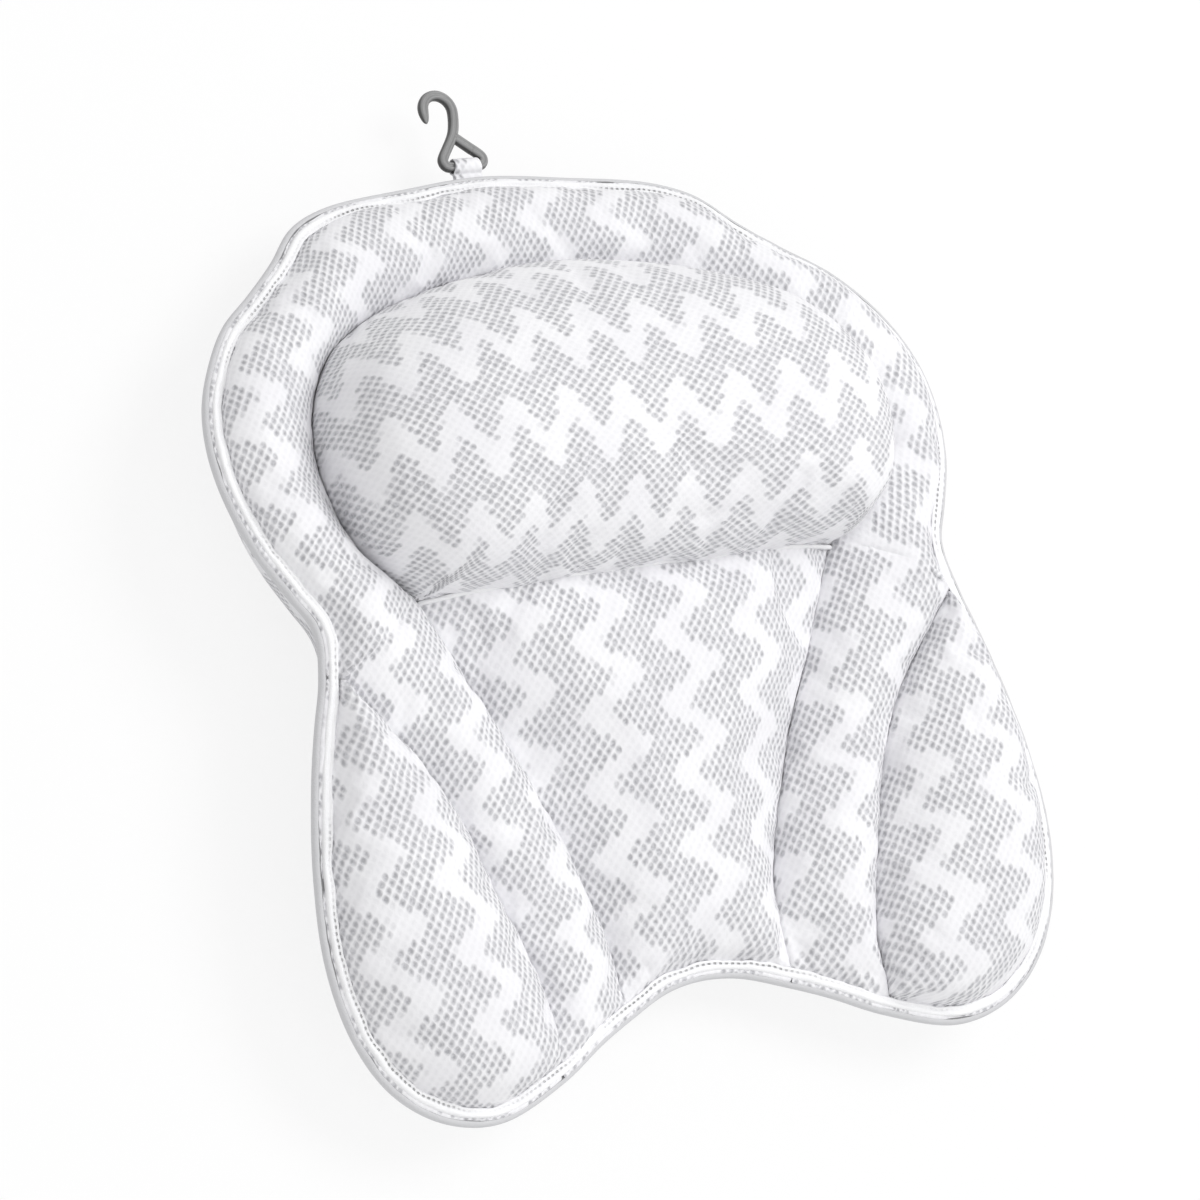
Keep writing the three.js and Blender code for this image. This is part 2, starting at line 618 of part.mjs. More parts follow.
const rightCorner = arc(cornerX, hookCorner, hookCorner, ...hookTurns.rightCorner, rodSteps);
const stem = split.clone().setY(hookSplit + rodRadius);
const legAt = (share) => rightCorner.at(-1).clone().lerp(split, share);
const hookMain = rod([
  ...bow, stem, ...leftCorner, barEnd.clone().negate(), barEnd, ...rightCorner,
  legAt(legShares.mainEnd)], hookSteps);
const hookBrace = rod([legAt(legShares.braceStart), split], 2);
add('hook', geometryOf(hookMain.add(hookBrace)), greyPlastic,
  -loopOffset - hookSlide, headEnd.y + strapReach, barZ);

// The origin is under the middle of everything, on the plane that the cups stand on
const extent = new THREE.Box3().setFromObject(group);
const centre = extent.getCenter(new THREE.Vector3());
group.position.set(-centre.x, -centre.y, -extent.min.z);

export default group;
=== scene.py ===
# Bath pillow: a butterfly-shaped pad of white mesh with a raised head cushion, suction cups
# behind and a grey hook in a fabric loop. Metres, in the frame's own axes: the pad lies on its
# cups, +Z is its front and +Y its head end.
import json
import math
from contextlib import contextmanager
from functools import partialmethod

import bmesh
import bpy
import numpy as np
from mathutils import Matrix, Vector, noise
from mathutils.bvhtree import BVHTree
from mathutils.kdtree import KDTree


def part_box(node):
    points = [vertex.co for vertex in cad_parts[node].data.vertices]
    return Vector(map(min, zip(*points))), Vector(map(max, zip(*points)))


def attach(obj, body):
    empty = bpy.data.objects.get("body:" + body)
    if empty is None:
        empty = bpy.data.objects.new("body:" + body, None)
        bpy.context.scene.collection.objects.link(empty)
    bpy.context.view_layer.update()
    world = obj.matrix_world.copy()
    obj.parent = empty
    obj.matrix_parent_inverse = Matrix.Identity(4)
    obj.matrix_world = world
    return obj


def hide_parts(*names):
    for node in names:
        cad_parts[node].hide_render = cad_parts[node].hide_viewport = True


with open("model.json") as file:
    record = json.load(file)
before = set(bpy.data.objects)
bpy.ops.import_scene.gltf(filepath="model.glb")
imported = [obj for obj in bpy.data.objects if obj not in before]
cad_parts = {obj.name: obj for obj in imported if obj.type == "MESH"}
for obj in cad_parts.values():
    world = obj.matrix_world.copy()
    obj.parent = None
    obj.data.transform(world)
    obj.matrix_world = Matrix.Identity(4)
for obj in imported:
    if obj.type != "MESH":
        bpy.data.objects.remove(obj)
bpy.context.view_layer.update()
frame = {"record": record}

scene = bpy.context.scene


def linked(name, data):
    made = bpy.data.objects.new(name, data)
    scene.collection.objects.link(made)
    return made


@contextmanager
def building(mesh):
    # the mesh opened for editing, and written back
    build = bmesh.new()
    build.from_mesh(mesh)
    yield build
    build.to_mesh(mesh)
    build.free()


# Camera

view = {
    "place": (-0.9854, -0.3694, 1.4915),
    "look": (0.5475, 0.1981, -0.8130),
    "up": (0.1161, 0.9442, 0.3082),
    "lens": 128.56,
    "clip": (0.05, 20),
}


def addCamera():
    lens = bpy.data.cameras.new("camera")
    lens.lens = view["lens"]
    lens.clip_start, lens.clip_end = view["clip"]
    camera = linked("camera", lens)
    behind = -Vector(view["look"]).normalized()
    right = Vector(view["up"]).cross(behind).normalized()
    turn = Matrix((right, behind.cross(right), behind)).transposed()
    camera.matrix_world = Matrix.Translation(view["place"]) @ turn.to_4x4()
    scene.camera = camera


addCamera()

# Lines and grids. A grid is an array of rows of points.


def smoothLine(points, before=None, after=None, steps=16):
    # a centripetal curve through the points, with steps samples from each to the next
    points = np.asarray(points, float)
    first = 2 * points[0] - points[1] if before is None else before
    final = 2 * points[-1] - points[-2] if after is None else after
    stops = np.vstack([first, points, final])
    t = np.arange(steps)[:, None] / steps
    line = []
    for a, b, c, d in zip(stops, stops[1:], stops[2:], stops[3:]):
        i, j, k = (np.linalg.norm(step) ** 0.5 for step in (b - a, c - b, d - c))
        leave = ((b - a) / i - (c - a) / (i + j) + (c - b) / j) * j
        arrive = ((c - b) / j - (d - b) / (j + k) + (d - c) / k) * j
        line.append((2 * t**3 - 3 * t**2 + 1) * b + (t**3 - 2 * t**2 + t) * leave
                    + (3 * t**2 - 2 * t**3) * c + (t**3 - t**2) * arrive)
    return np.vstack(line + [points[-1:]])


def lengthsOf(line):
    steps = np.linalg.norm(np.diff(line, axis=0), axis=1)
    return np.concatenate([[0], np.cumsum(steps)])


def between(at, stops, values):
    # each column of the values, read between the stops
    return np.stack([np.interp(at, stops, column) for column in values.T], -1)


def sample(line, shares):
    # points at these shares of the line's length
    lengths = lengthsOf(line)
    return between(np.asarray(shares) * lengths[-1], lengths, line)


def mirrored(points):
    return np.asarray(points) * (-1, 1, 1)


def crowded(count, amount=0.3):
    # shares from 0 to 1, closer together towards both ends
    even = np.linspace(0, 1, count + 1)
    return even + amount * ((1 - np.cos(np.pi * even)) / 2 - even)


def unit(vectors):
    return vectors / np.maximum(np.linalg.norm(vectors, axis=-1, keepdims=True), 1e-9)


def leftOf(way):
    return unit(way[:, [1, 0, 2]] * (-1, 1, 0))


def normalsOf(grid):
    normals = np.cross(np.gradient(grid, axis=1), np.gradient(grid, axis=0))
    return unit(normals * (np.sign(normals[..., 2].sum()) or 1))


def neighbours(grid):
    # the mean of the four points round each inner point
    return (grid[:-2, 1:-1] + grid[2:, 1:-1] + grid[1:-1, :-2] + grid[1:-1, 2:]) / 4


def roughness(grid, size, seed):
    # smooth noise from -1 to 1 at each point, with lumps about this size
    flat = grid.reshape(-1, 3) / size + (seed * 7.3, seed * 3.1, 0)
    return np.array([noise.noise(Vector(point)) for point in flat]).reshape(grid.shape[:2])


def gridMesh(name, grid, flat=None):
    # a sheet of squares through the grid's points; flat gives each point's place on the cloth
    rows, columns = grid.shape[:2]
    mesh = bpy.data.meshes.new(name)
    with building(mesh) as build:
        bmesh.ops.create_grid(build, x_segments=columns - 1, y_segments=rows - 1, size=1)
    mesh.vertices.foreach_set("co", grid.reshape(-1))
    if flat is not None:
        corners = np.zeros(len(mesh.loops), int)
        mesh.loops.foreach_get("vertex_index", corners)
        layer = mesh.uv_layers.new(name="cloth")
        layer.data.foreach_set("uv", flat.reshape(-1, 2)[corners].reshape(-1))
    return mesh


def laidFlat(grid, upright=0.2):
    # each point's place on the cloth: every row is unrolled from its middle to both sides, and
    # where it is nearly upright it goes on along the row
    step = np.diff(grid, axis=1)
    real = np.linalg.norm(step, axis=2, keepdims=True)
    planar = step[..., :2]
    width = np.linalg.norm(planar, axis=2, keepdims=True)
    rowWay = unit(grid[:, -1:, :2] - grid[:, :1, :2])
    way = np.where(width > upright * real, planar / np.maximum(width, 1e-9), rowWay)
    out = np.concatenate([np.zeros_like(grid[:, :1, :2]), np.cumsum(way * real, axis=1)], axis=1)
    middle = grid.shape[1] // 2
    return out - out[:, middle:middle + 1] + grid[:, middle:middle + 1, :2]


def pieceFrom(mesh, merge=1e-6, closeEnds=False):
    # a mesh with its doubles merged and its faces outwards becomes an object
    with building(mesh) as build:
        bmesh.ops.remove_doubles(build, verts=build.verts, dist=merge)
        if closeEnds:
            ends = [side for side in build.edges if side.is_boundary]
            bmesh.ops.holes_fill(build, edges=ends)
        bmesh.ops.dissolve_degenerate(build, edges=build.edges, dist=merge)
        bmesh.ops.recalc_face_normals(build, faces=build.faces)
        for face in build.faces:
            face.smooth = True
    return linked(mesh.name, mesh)


def facing(piece, way):
    # an open sheet's faces look to the front for 1 and to the back for -1
    if sum(face.normal.z * face.area for face in piece.data.polygons) * way < 0:
        piece.data.flip_normals()


def subdivided(piece):
    finer = piece.modifiers.new("finer", "SUBSURF")
    finer.levels = finer.render_levels = 1
    finer.uv_smooth = "PRESERVE_BOUNDARIES"


def thickened(piece, thickness, offset=-1):
    wall = piece.modifiers.new("thickness", "SOLIDIFY")
    wall.thickness, wall.offset = thickness, offset


def finished(piece, finish, slot, *nodes, body="pad"):
    piece.data.materials.clear()
    piece.data.materials.append(finish)
    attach(piece, body)
    if nodes:
        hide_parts(*nodes)


# Materials


def worked(wire, operation, *others):
    return wire.finish.maths(operation, wire, *others)


class Wire:
    # a socket of a material's node tree that sums can be written with
    def __init__(self, finish, socket):
        self.finish, self.socket = finish, socket

    def beside(self, output):
        # another output of the same node
        return Wire(self.finish, self.socket.node.outputs[output])

    __add__ = partialmethod(worked, "ADD")
    __sub__ = partialmethod(worked, "SUBTRACT")
    __mul__ = partialmethod(worked, "MULTIPLY")
    __truediv__ = partialmethod(worked, "DIVIDE")
    __abs__ = partialmethod(worked, "ABSOLUTE")
    floor = partialmethod(worked, "FLOOR")
    fract = partialmethod(worked, "FRACT")
    root = partialmethod(worked, "SQRT")
    most = partialmethod(worked, "MAXIMUM")


class Finish:
    def __init__(self, name, kind="materials", shader="Principled BSDF", **constants):
        self.data = getattr(bpy.data, kind).new(name)
        self.data.use_nodes = True
        self.tree = self.data.node_tree
        self.shader = self.tree.nodes[shader]
        for socket, value in constants.items():
            self.shader.inputs[socket.replace("_", " ")].default_value = value

    def node(self, kind, settings=(), inputs=(), output=0):
        made = self.tree.nodes.new("ShaderNode" + kind)
        for setting, value in dict(settings).items():
            setattr(made, setting, value)
        for socket, value in dict(inputs).items():
            if isinstance(value, Wire):
                self.tree.links.new(value.socket, made.inputs[socket])
            else:
                made.inputs[socket].default_value = value
        return Wire(self, made.outputs[output])

    def maths(self, operation, *values):
        return self.node("Math", {"operation": operation}, enumerate(values))

    def ramp(self, value, low, high, bottom=0, top=1):
        return self.node("MapRange", {"interpolation_type": "SMOOTHSTEP"}, {
            "Value": value, "From Min": low, "From Max": high, "To Min": bottom, "To Max": top})

    def mixed(self, share, first, second):
        return self.node("Mix", {"data_type": "RGBA"}, {0: share, 6: first, 7: second}, 2)

    def cloth(self):
        # the cloth's own place in millimetres, across and along
        place = self.node("UVMap", {"uv_map": "cloth"})
        across = self.node("SeparateXYZ", (), {0: place})
        return across * 1000, across.beside(1) * 1000

    def speckle(self, scale, detail=2, blur=0.5):
        place = self.node("TexCoord", output="Object")
        return self.node("TexNoise", (), {
            "Vector": place, "Scale": scale, "Detail": detail, "Roughness": blur})

    def feed(self, socket, value):
        self.tree.links.new(value.socket, self.shader.inputs[socket])

    def bump(self, height, distance, strength=1):
        self.feed("Normal", self.node("Bump", (), {
            "Height": height, "Distance": distance, "Strength": strength}))


def grey(level):
    return (level, level, level, 1)


meshCloth = {
    "white": (0.9, 0.895, 0.92, 1),
    "ridge": (0.95, 0.948, 0.965, 1),
    # painted shade: the grey of the holes stands in for the shade in the hollow under the mesh, and
    # paleHole for lighter shade where back yarns show
    "hole": (0.44, 0.44, 0.465, 1),
    "paleHole": (0.64, 0.64, 0.67, 1),
    "bandHole": 0.13,  # share of a hole that shows in the closed bands
    "holeDepth": 0.0006,
    "holeReach": (0.05, 1.12),  # from its darkest to its end, in its half size
    "bandEdge": (-0.6, 1.6),  # millimetres over which the holes fade into a band
    "uneven": 0.6,  # of the holes' sizes
    "askew": 0.45,  # of their outlines
    "sway": 1.2,  # of the rows, in millimetres
    "fuzz": 0.2,  # height of the yarn's hairs, in holes' depths
    # how fine each unevenness is
    "fine": {"sway": 45, "uneven": 300, "askew": 420, "fuzz": 900, "shade": 35, "behind": 650},
}


def meshFinish(name, pitch, hole, lean, band, turned=False):
    # knitted mesh: staggered rows of oval holes, closed in zigzag bands, with painted shade in the
    # holes. Millimetres.
    finish = Finish(name, Roughness=0.88, Specular_IOR_Level=0.25, Sheen_Weight=0.15)
    fine = meshCloth["fine"]
    low, high = (band["width"] / 2 + step for step in meshCloth["bandEdge"])
    across, along = finish.cloth()
    sway = finish.speckle(fine["sway"], 1) - 0.5
    across, along = (place + sway * meshCloth["sway"] for place in (across, along))
    uneven = (finish.speckle(fine["uneven"], 1) - 0.5) * meshCloth["uneven"]
    askew = (finish.speckle(fine["askew"], 0) - 0.5) * meshCloth["askew"]
    opened = None
    for offset in (0, 0.5):
        cellX, cellY = across / pitch[0] + offset, along / pitch[1] + offset
        centreX = (cellX.floor() + (0.5 - offset)) * pitch[0]
        centreY = (cellY.floor() + (0.5 - offset)) * pitch[1]
        if turned:
            centreX, centreY = centreY, centreX
        wave = abs((centreY / band["period"]).fract() - 0.5) * 2
        swing = finish.ramp(wave, 0, 1, 0, band["swing"])
        away = abs(((centreX + swing) / band["repeat"]).fract() - 0.5) * band["repeat"]
        isOpen = finish.ramp(away, low, high, meshCloth["bandHole"], 1)
        x = (cellX.fract() - 0.5) * pitch[0] / hole[0]
        y = (cellY.fract() - 0.5) * pitch[1] / hole[1]
        x = x - y * lean + askew
        away = (x * x + y * y).root() + uneven
        dent = finish.ramp(away, *meshCloth["holeReach"], 1, 0) * isOpen
        opened = dent if opened is None else opened.most(dent)
    fuzz = finish.speckle(fine["fuzz"], 2)
    shade = finish.ramp(finish.speckle(fine["shade"], 3), 0.3, 0.7)
    yarn = finish.mixed(shade, meshCloth["white"], meshCloth["ridge"])
    # painted shade in the holes, lighter where the back yarns show
    behind = finish.ramp(finish.speckle(fine["behind"], 1), 0.35, 0.7)
    holeShade = finish.mixed(behind, meshCloth["hole"], meshCloth["paleHole"])
    finish.feed("Base Color", finish.mixed(opened, yarn, holeShade))
    finish.bump(fuzz * meshCloth["fuzz"] - opened, meshCloth["holeDepth"])
    return finish.data


padMesh = meshFinish("pad_mesh", (3.95, 5.3), (1.6, 2.1), 0.2, {
    "period": 28.5, "swing": 17.3, "repeat": 38.5, "width": 12.7})
headMesh = meshFinish("head_mesh", (4.4, 4.3), (1.9, 1.65), 0.12, {
    "period": 25.2, "swing": 20.2, "repeat": 43, "width": 15}, turned=True)

tapeCloth = {
    "white": (0.93, 0.93, 0.945, 1),
    "ridge": (0.985, 0.985, 0.99, 1),
    # painted shade on the tape's outer side and underside, below the crease
    "side": (0.66, 0.66, 0.675, 1),
    # painted shade: the colour of the shade in the crease, in the stitch row's groove and in its
    # needle holes
    "crease": (0.1, 0.1, 0.105, 1),
    "dark": 0.85,  # share of the crease's colour, how strong all the painted shade is
    "creaseReach": (0.45, 0.9),  # millimetres to each side of it, full and faded out
    "stitch": 2.7,  # millimetres from one stitch to the next
    "stitchGap": (0.2, 0.36),  # share of that, from a stitch to the hole beside it
    "rowReach": (0.15, 0.6),
    "rowShade": (0.2, 0.45),  # painted shade of the stitch row's groove, and more painted shade in its needle holes
    "rowShows": (0.4, 0.62),
    "wander": 0.4,
    "depth": 0.0006,
}


def tapeFinish(crease, seam):
    # white tape, with painted shade along its crease and in a row of stitches, these so many
    # millimetres round its section
    finish = Finish("binding_tape", Roughness=0.72, Specular_IOR_Level=0.3)
    along, around = finish.cloth()
    around = around + (finish.speckle(280, 2) - 0.5) * tapeCloth["wander"]
    weave = finish.speckle(1400, 2)
    soft = finish.speckle(60, 2)
    # painted shade along the crease
    fold = finish.ramp(abs(around - crease), *tapeCloth["creaseReach"], 1, 0)
    # painted shade in the needle holes between the stitches, and along the stitch row's groove
    # where it shows
    stitch = abs((along / tapeCloth["stitch"]).fract() - 0.5)
    gap = finish.ramp(stitch, *tapeCloth["stitchGap"])
    row = finish.ramp(abs(around - seam), *tapeCloth["rowReach"], 1, 0)
    row = row * finish.ramp(finish.speckle(22, 1), *tapeCloth["rowShows"])
    cloth = finish.mixed(soft, tapeCloth["white"], tapeCloth["ridge"])
    # painted shade: grey below the crease, on the tape's outer side and underside
    cloth = finish.mixed(finish.ramp(around, crease - 1, crease), tapeCloth["side"], cloth)
    rowShade, needleHoleShade = tapeCloth["rowShade"]
    # all the painted shade together: crease, stitch row and needle holes
    dark = (fold + row * (gap * needleHoleShade + rowShade)) * tapeCloth["dark"]
    finish.feed("Base Color", finish.mixed(dark, cloth, tapeCloth["crease"]))
    finish.bump(weave * 0.4 + soft - row * gap, tapeCloth["depth"])
    return finish.data


def fibreFinish():
    finish = Finish("fibre", Roughness=0.95)
    tangle = finish.speckle(240, 6, blur=0.7)
    finish.feed("Base Color", finish.mixed(tangle, grey(0.8), grey(0.97)))
    finish.bump(tangle, 0.002)
    return finish.data


def plainFinish(name, dark, light, cloud, grain, depth, strength=1, **constants):
    # how fine and how detailed the clouds of its colour and the grain of its surface are
    finish = Finish(name, **constants)
    finish.feed("Base Color", finish.mixed(finish.speckle(*cloud), dark, light))
    finish.bump(finish.speckle(*grain), depth, strength)
    return finish.data


def plasticFinish(name, dark, light, sideShade=0.0):
    # sideShade darkens the sides of a rod, whose cloth map holds the place in its section
    finish = Finish(name, Specular_IOR_Level=0.45)
    colour = finish.mixed(finish.speckle(120, 3), dark, light)
    if sideShade:
        across, _ = finish.cloth()
        side = finish.ramp(abs(across), 0.66, 0.98)
        colour = finish.mixed(side, colour, grey(dark[1] * sideShade))
    finish.feed("Base Color", colour)
    finish.feed("Roughness", finish.ramp(finish.speckle(500, 3), 0.2, 0.8, 0.3, 0.44))
    finish.bump(finish.speckle(900, 2), 0.0001, 0.6)
    return finish.data


fibre = fibreFinish()
lining = plainFinish("lining", grey(0.84), grey(0.92), (90, 3), (1500, 1), 0.0003,
                     Roughness=0.85)
clearVinyl = plainFinish("clear_vinyl", (0.86, 0.9, 0.92, 1), (0.93, 0.96, 0.97, 1), (70, 3),
                         (160, 2), 0.0003, 0.5, Roughness=0.16, Transmission_Weight=0.75,
                         IOR=1.45)
whitePlastic = plasticFinish("white_plastic", grey(0.8), grey(0.88))
greyPlastic = plasticFinish("grey_plastic", grey(0.24), grey(0.31), 0.2)
print("materials ready")

# The pad's edge and seams, as shares of half its width, half its length and the height of the
# edge's waist above its foot arch

tape = {
    "halfHeight": 0.003,
    "rimInset": 0.0017,  # from the edge in to the covers' rims
    "lipInset": 0.0078,  # from the edge in to the padding
    "rimTop": 0.002,  # a cover's rim above the middle of the tape
}
tapeLow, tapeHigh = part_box("edge_binding")
padHalf = (tapeHigh - tapeLow) / 2
padMiddle = (tapeHigh + tapeLow) / 2
archHeight = tapeLow.z + tape["halfHeight"]
relief = tapeHigh.z - tapeLow.z - 2 * tape["halfHeight"]

outlineShares = [
    (0, 1, 0.03), (0.23, 0.981, 0.06), (0.455, 0.949, 0.14), (0.565, 0.905, 0.21),
    (0.652, 0.826, 0.31), (0.745, 0.754, 0.42), (0.839, 0.686, 0.53), (0.912, 0.601, 0.65),
    (0.966, 0.506, 0.74), (0.991, 0.401, 0.83), (0.986, 0.291, 0.9), (0.956, 0.184, 0.95),
    (0.908, 0.09, 0.98), (0.868, 0.012, 1), (0.881, -0.084, 0.97), (0.914, -0.177, 0.9),
    (0.947, -0.28, 0.83), (0.988, -0.46, 0.71), (1, -0.64, 0.57), (0.967, -0.79, 0.44),
    (0.895, -0.901, 0.33), (0.781, -0.975, 0.26), (0.635, -0.998, 0.2), (0.447, -0.945, 0.15),
    (0.316, -0.884, 0.09), (0.215, -0.844, 0.05), (0.1, -0.805, 0.01), (0, -0.794, 0),
]
waistIndex, wingFootIndex, channelFootIndex, archIndex = 14, 23, 25, 27
wingSeamShares = [(0.626, -0.335, 0.66), (0.519, -0.585, 0.46), (0.463, -0.775, 0.32)]
neckSeamShares = [
    (0.575, 0.053, 0.77), (0.451, -0.17, 0.57), (0.367, -0.33, 0.36), (0.296, -0.5, 0.17),
    (0.244, -0.66, 0.06),
]
headSeamShares = [
    (0, 0.76, 0.36), (0.17, 0.748, 0.38), (0.33, 0.718, 0.42), (0.48, 0.668, 0.51),
    (0.61, 0.59, 0.6), (0.69, 0.48, 0.68), (0.72, 0.36, 0.74), (0.71, 0.25, 0.77),
    (0.67, 0.145, 0.78), (0.575, 0.053, 0.77),
]


def placed(shares):
    low = (0, padMiddle.y, archHeight)
    return np.asarray(shares) * (padHalf.x, padHalf.y, relief) + low


lineSteps = 16
halfOutline = placed(outlineShares)
edgeLine = smoothLine(halfOutline, mirrored(halfOutline[1]), mirrored(halfOutline[-2]), lineSteps)
edgeLengths = lengthsOf(edgeLine)
edgeShares = edgeLengths / edgeLengths[-1]


def edge(first, last, shares):
    # points of the edge between two of its stops, and the outward direction at each
    ends = edgeShares[first * lineSteps], edgeShares[last * lineSteps]
    at = ends[0] + (ends[1] - ends[0]) * np.asarray(shares)
    points = sample(edgeLine, at)
    way = sample(edgeLine, np.minimum(at + 1e-3, 1)) - sample(edgeLine, np.maximum(at - 1e-3, 0))
    out = leftOf(way)
    out[(at < 1e-9) | (at > 1 - 1e-9), 0] = 0
    return points, unit(out)


def inset(points, out, depth=tape["lipInset"]):
    return points - out * depth + np.array((0, 0, tape["rimTop"]))


padding = {
    "frameCrown": 0.0135,
    "wingCrown": 0.024,
    "neckCrown": 0.0195,
    "endTaper": 0.046,  # where a channel flattens towards the tape
    "neckTaper": 0.02,  # the same under the head cushion
    "neckEdge": 0.72,  # share of the crown left there
    "seamDepth": 0.0035,  # of the cloth drawn into a seam
    "tuckShares": (1, 0.45),  # of that depth, at the cloth's steps into a seam
    "neckTuckShares": (0.6, 0.2),  # the same under the head cushion
    "coverThickness": 0.0026,
    # power and fullness of each panel's swell: a high power gives a flat middle
    "frameShape": (2.4, 0.66),
    "wingShape": (3, 0.85),
    "neckShape": (4, 0.9),
    "taperFullness": 0.6,
    "cell": 0.003,  # size of the cloth's squares
    "lengths": (0.475, 0.2, 0.26),  # the head end's half edge, a channel and a wing
    # squares across, and how much closer together they are at the sides
    "frameColumns": (22, 0.6),
    "wingColumns": (30, 0.6),
    "neckColumns": (64, 0.35),
    "footRows": 5,
}


def bulge(shares, shape):
    away = np.abs(2 * np.asarray(shares) - 1)
    power, fullness = padding[shape]
    return (1 - away**power) ** fullness


def rise(shares):
    away = 1 - np.clip(shares, 0, 1)
    return (1 - away**2) ** padding["taperFullness"]


def seamLine(points, shares, before=None):
    return sample(smoothLine(points, before), shares)


headCount, channelCount, wingCount = (int(run / padding["cell"]) for run in padding["lengths"])
footDepths = np.linspace(tape["lipInset"], tape["rimInset"], padding["footRows"])

waistLip, wingFootLip = inset(*edge(waistIndex, wingFootIndex, [0, 1]))
channelFootLip = inset(*edge(channelFootIndex, archIndex, [0]))[0]
wingSeamStops = np.vstack([waistLip, placed(wingSeamShares), wingFootLip])
neckSeamStops = np.vstack([placed(neckSeamShares), channelFootLip])
headSeamStops = placed(headSeamShares)

drop = np.array((0, 0, -padding["seamDepth"]))


def across(outer, inner, crown, columns, outerFlange, innerFlange, shape):
    # rows from the outer to the inner rail, swollen between them, with flanges at both sides
    share = columns[None, :, None]
    grid = outer[:, None] * (1 - share) + inner[:, None] * share
    grid[..., 2] += np.reshape(crown, (-1, 1)) * bulge(columns, shape)
    return np.concatenate([outerFlange, grid, innerFlange], axis=1)


def tuck(rail, reverse=False):
    # the part of the cloth that goes down into a seam
    steps = [rail + drop * share for share in padding["tuckShares"]]
    return np.stack(steps[::-1] if reverse else steps, axis=1)


def rimFlange(points, out):
    depths = (tape["rimInset"], (tape["rimInset"] + tape["lipInset"]) / 2)
    return np.stack([inset(points, out, depth) for depth in depths], axis=1)


def frameGrid():
    columns = crowded(*padding["frameColumns"])
    shares = np.linspace(0, 1, headCount + 1)
    points, out = edge(0, waistIndex, shares)
    inner = seamLine(headSeamStops, shares, mirrored(headSeamStops[1]))
    headRows = across(inset(points, out), inner, padding["frameCrown"], columns,
                      rimFlange(points, out), tuck(inner, True), "frameShape")
    shares = crowded(channelCount)
    outer, inner = seamLine(wingSeamStops, shares), seamLine(neckSeamStops, shares)
    left = np.linalg.norm(inner - inner[-1], axis=1)
    crown = padding["frameCrown"] * rise(left / padding["endTaper"])
    channelRows = across(outer, inner, crown, columns, tuck(outer), tuck(inner, True),
                         "frameShape")
    rows = [headRows, channelRows[:-1]]
    spread = np.concatenate([[0, 0], columns, [1, 1]])
    foot = edge(wingFootIndex, channelFootIndex, spread)
    rows += [inset(*foot, depth)[None] for depth in footDepths]
    right = np.concatenate(rows)
    return np.concatenate([mirrored(right[:0:-1]), right])


def wingGrid():
    shares = crowded(wingCount)
    columns = crowded(*padding["wingColumns"])
    inner = seamLine(wingSeamStops, shares)
    points, out = edge(waistIndex, wingFootIndex, shares)
    outer = inset(points, out)
    span = np.linalg.norm(inner - outer, axis=1)
    crown = padding["wingCrown"] * np.sqrt(span / span.max())
    return across(outer, inner, crown, columns, rimFlange(points, out), tuck(inner, True),
                  "wingShape")


def neckGrid():
    shares = crowded(channelCount)
    columns = crowded(*padding["neckColumns"])
    outer = seamLine(neckSeamStops, shares)
    left = np.linalg.norm(outer - outer[-1], axis=1)
    down = outer[0, 1] - outer[:, 1]
    full = padding["neckEdge"] + (1 - padding["neckEdge"]) * rise(down / padding["neckTaper"])
    crown = padding["neckCrown"] * rise(left / padding["endTaper"]) * full
    grid = across(outer, mirrored(outer), crown, columns, tuck(outer), tuck(mirrored(outer), True),
                  "neckShape")
    spread = np.concatenate([[0, 0], columns, [1, 1]])
    foot = edge(channelFootIndex, archIndex, np.minimum(spread * 2, 1))
    right = np.stack([inset(*foot, depth) for depth in footDepths])
    feet = np.where((spread <= 0.5)[:, None], right, mirrored(right[:, ::-1]))
    dip = feet[0, :, 1] - feet[0, 0, 1]
    grid[..., 1] += (down / down[-1])[:, None] ** 2 * dip[None]
    top = np.stack([grid[0] + drop * share for share in padding["neckTuckShares"]])
    return np.concatenate([top, grid[:-1], feet])


headCushion = {
    "crown": 0.062,
    "bulge": 0.0006,  # past its lower seam
    "lean": 0.022,  # of its top towards the foot
    "middleShare": 0.365,  # its middle's place, a share of half the pad's length
    "halfLength": 0.09,  # from a seam to its middle, to measure its profile with
    "rowShares": 0.45,  # where along its side the cloth's corner lies
    "cells": 46,  # squares from the middle to the seam
    "gathered": 0.55,  # how much of its spare cloth is taken in at the round sides
    "gatherStart": 6,  # how soon above the lower seam
    "slack": 1.067,  # of its cloth from top to bottom
    "smoothed": 14,
}
# Profile from the seam to the middle: share of the bulge, of the way in and of the crown
headProfileShares = [
    (0, 0, 0), (0.6, 0, 0.12), (1, 0.004, 0.28), (1, 0.016, 0.45), (0.6, 0.042, 0.62),
    (0, 0.09, 0.77), (0, 0.18, 0.885), (0, 0.34, 0.96), (0, 0.62, 0.995), (0, 1, 1),
]


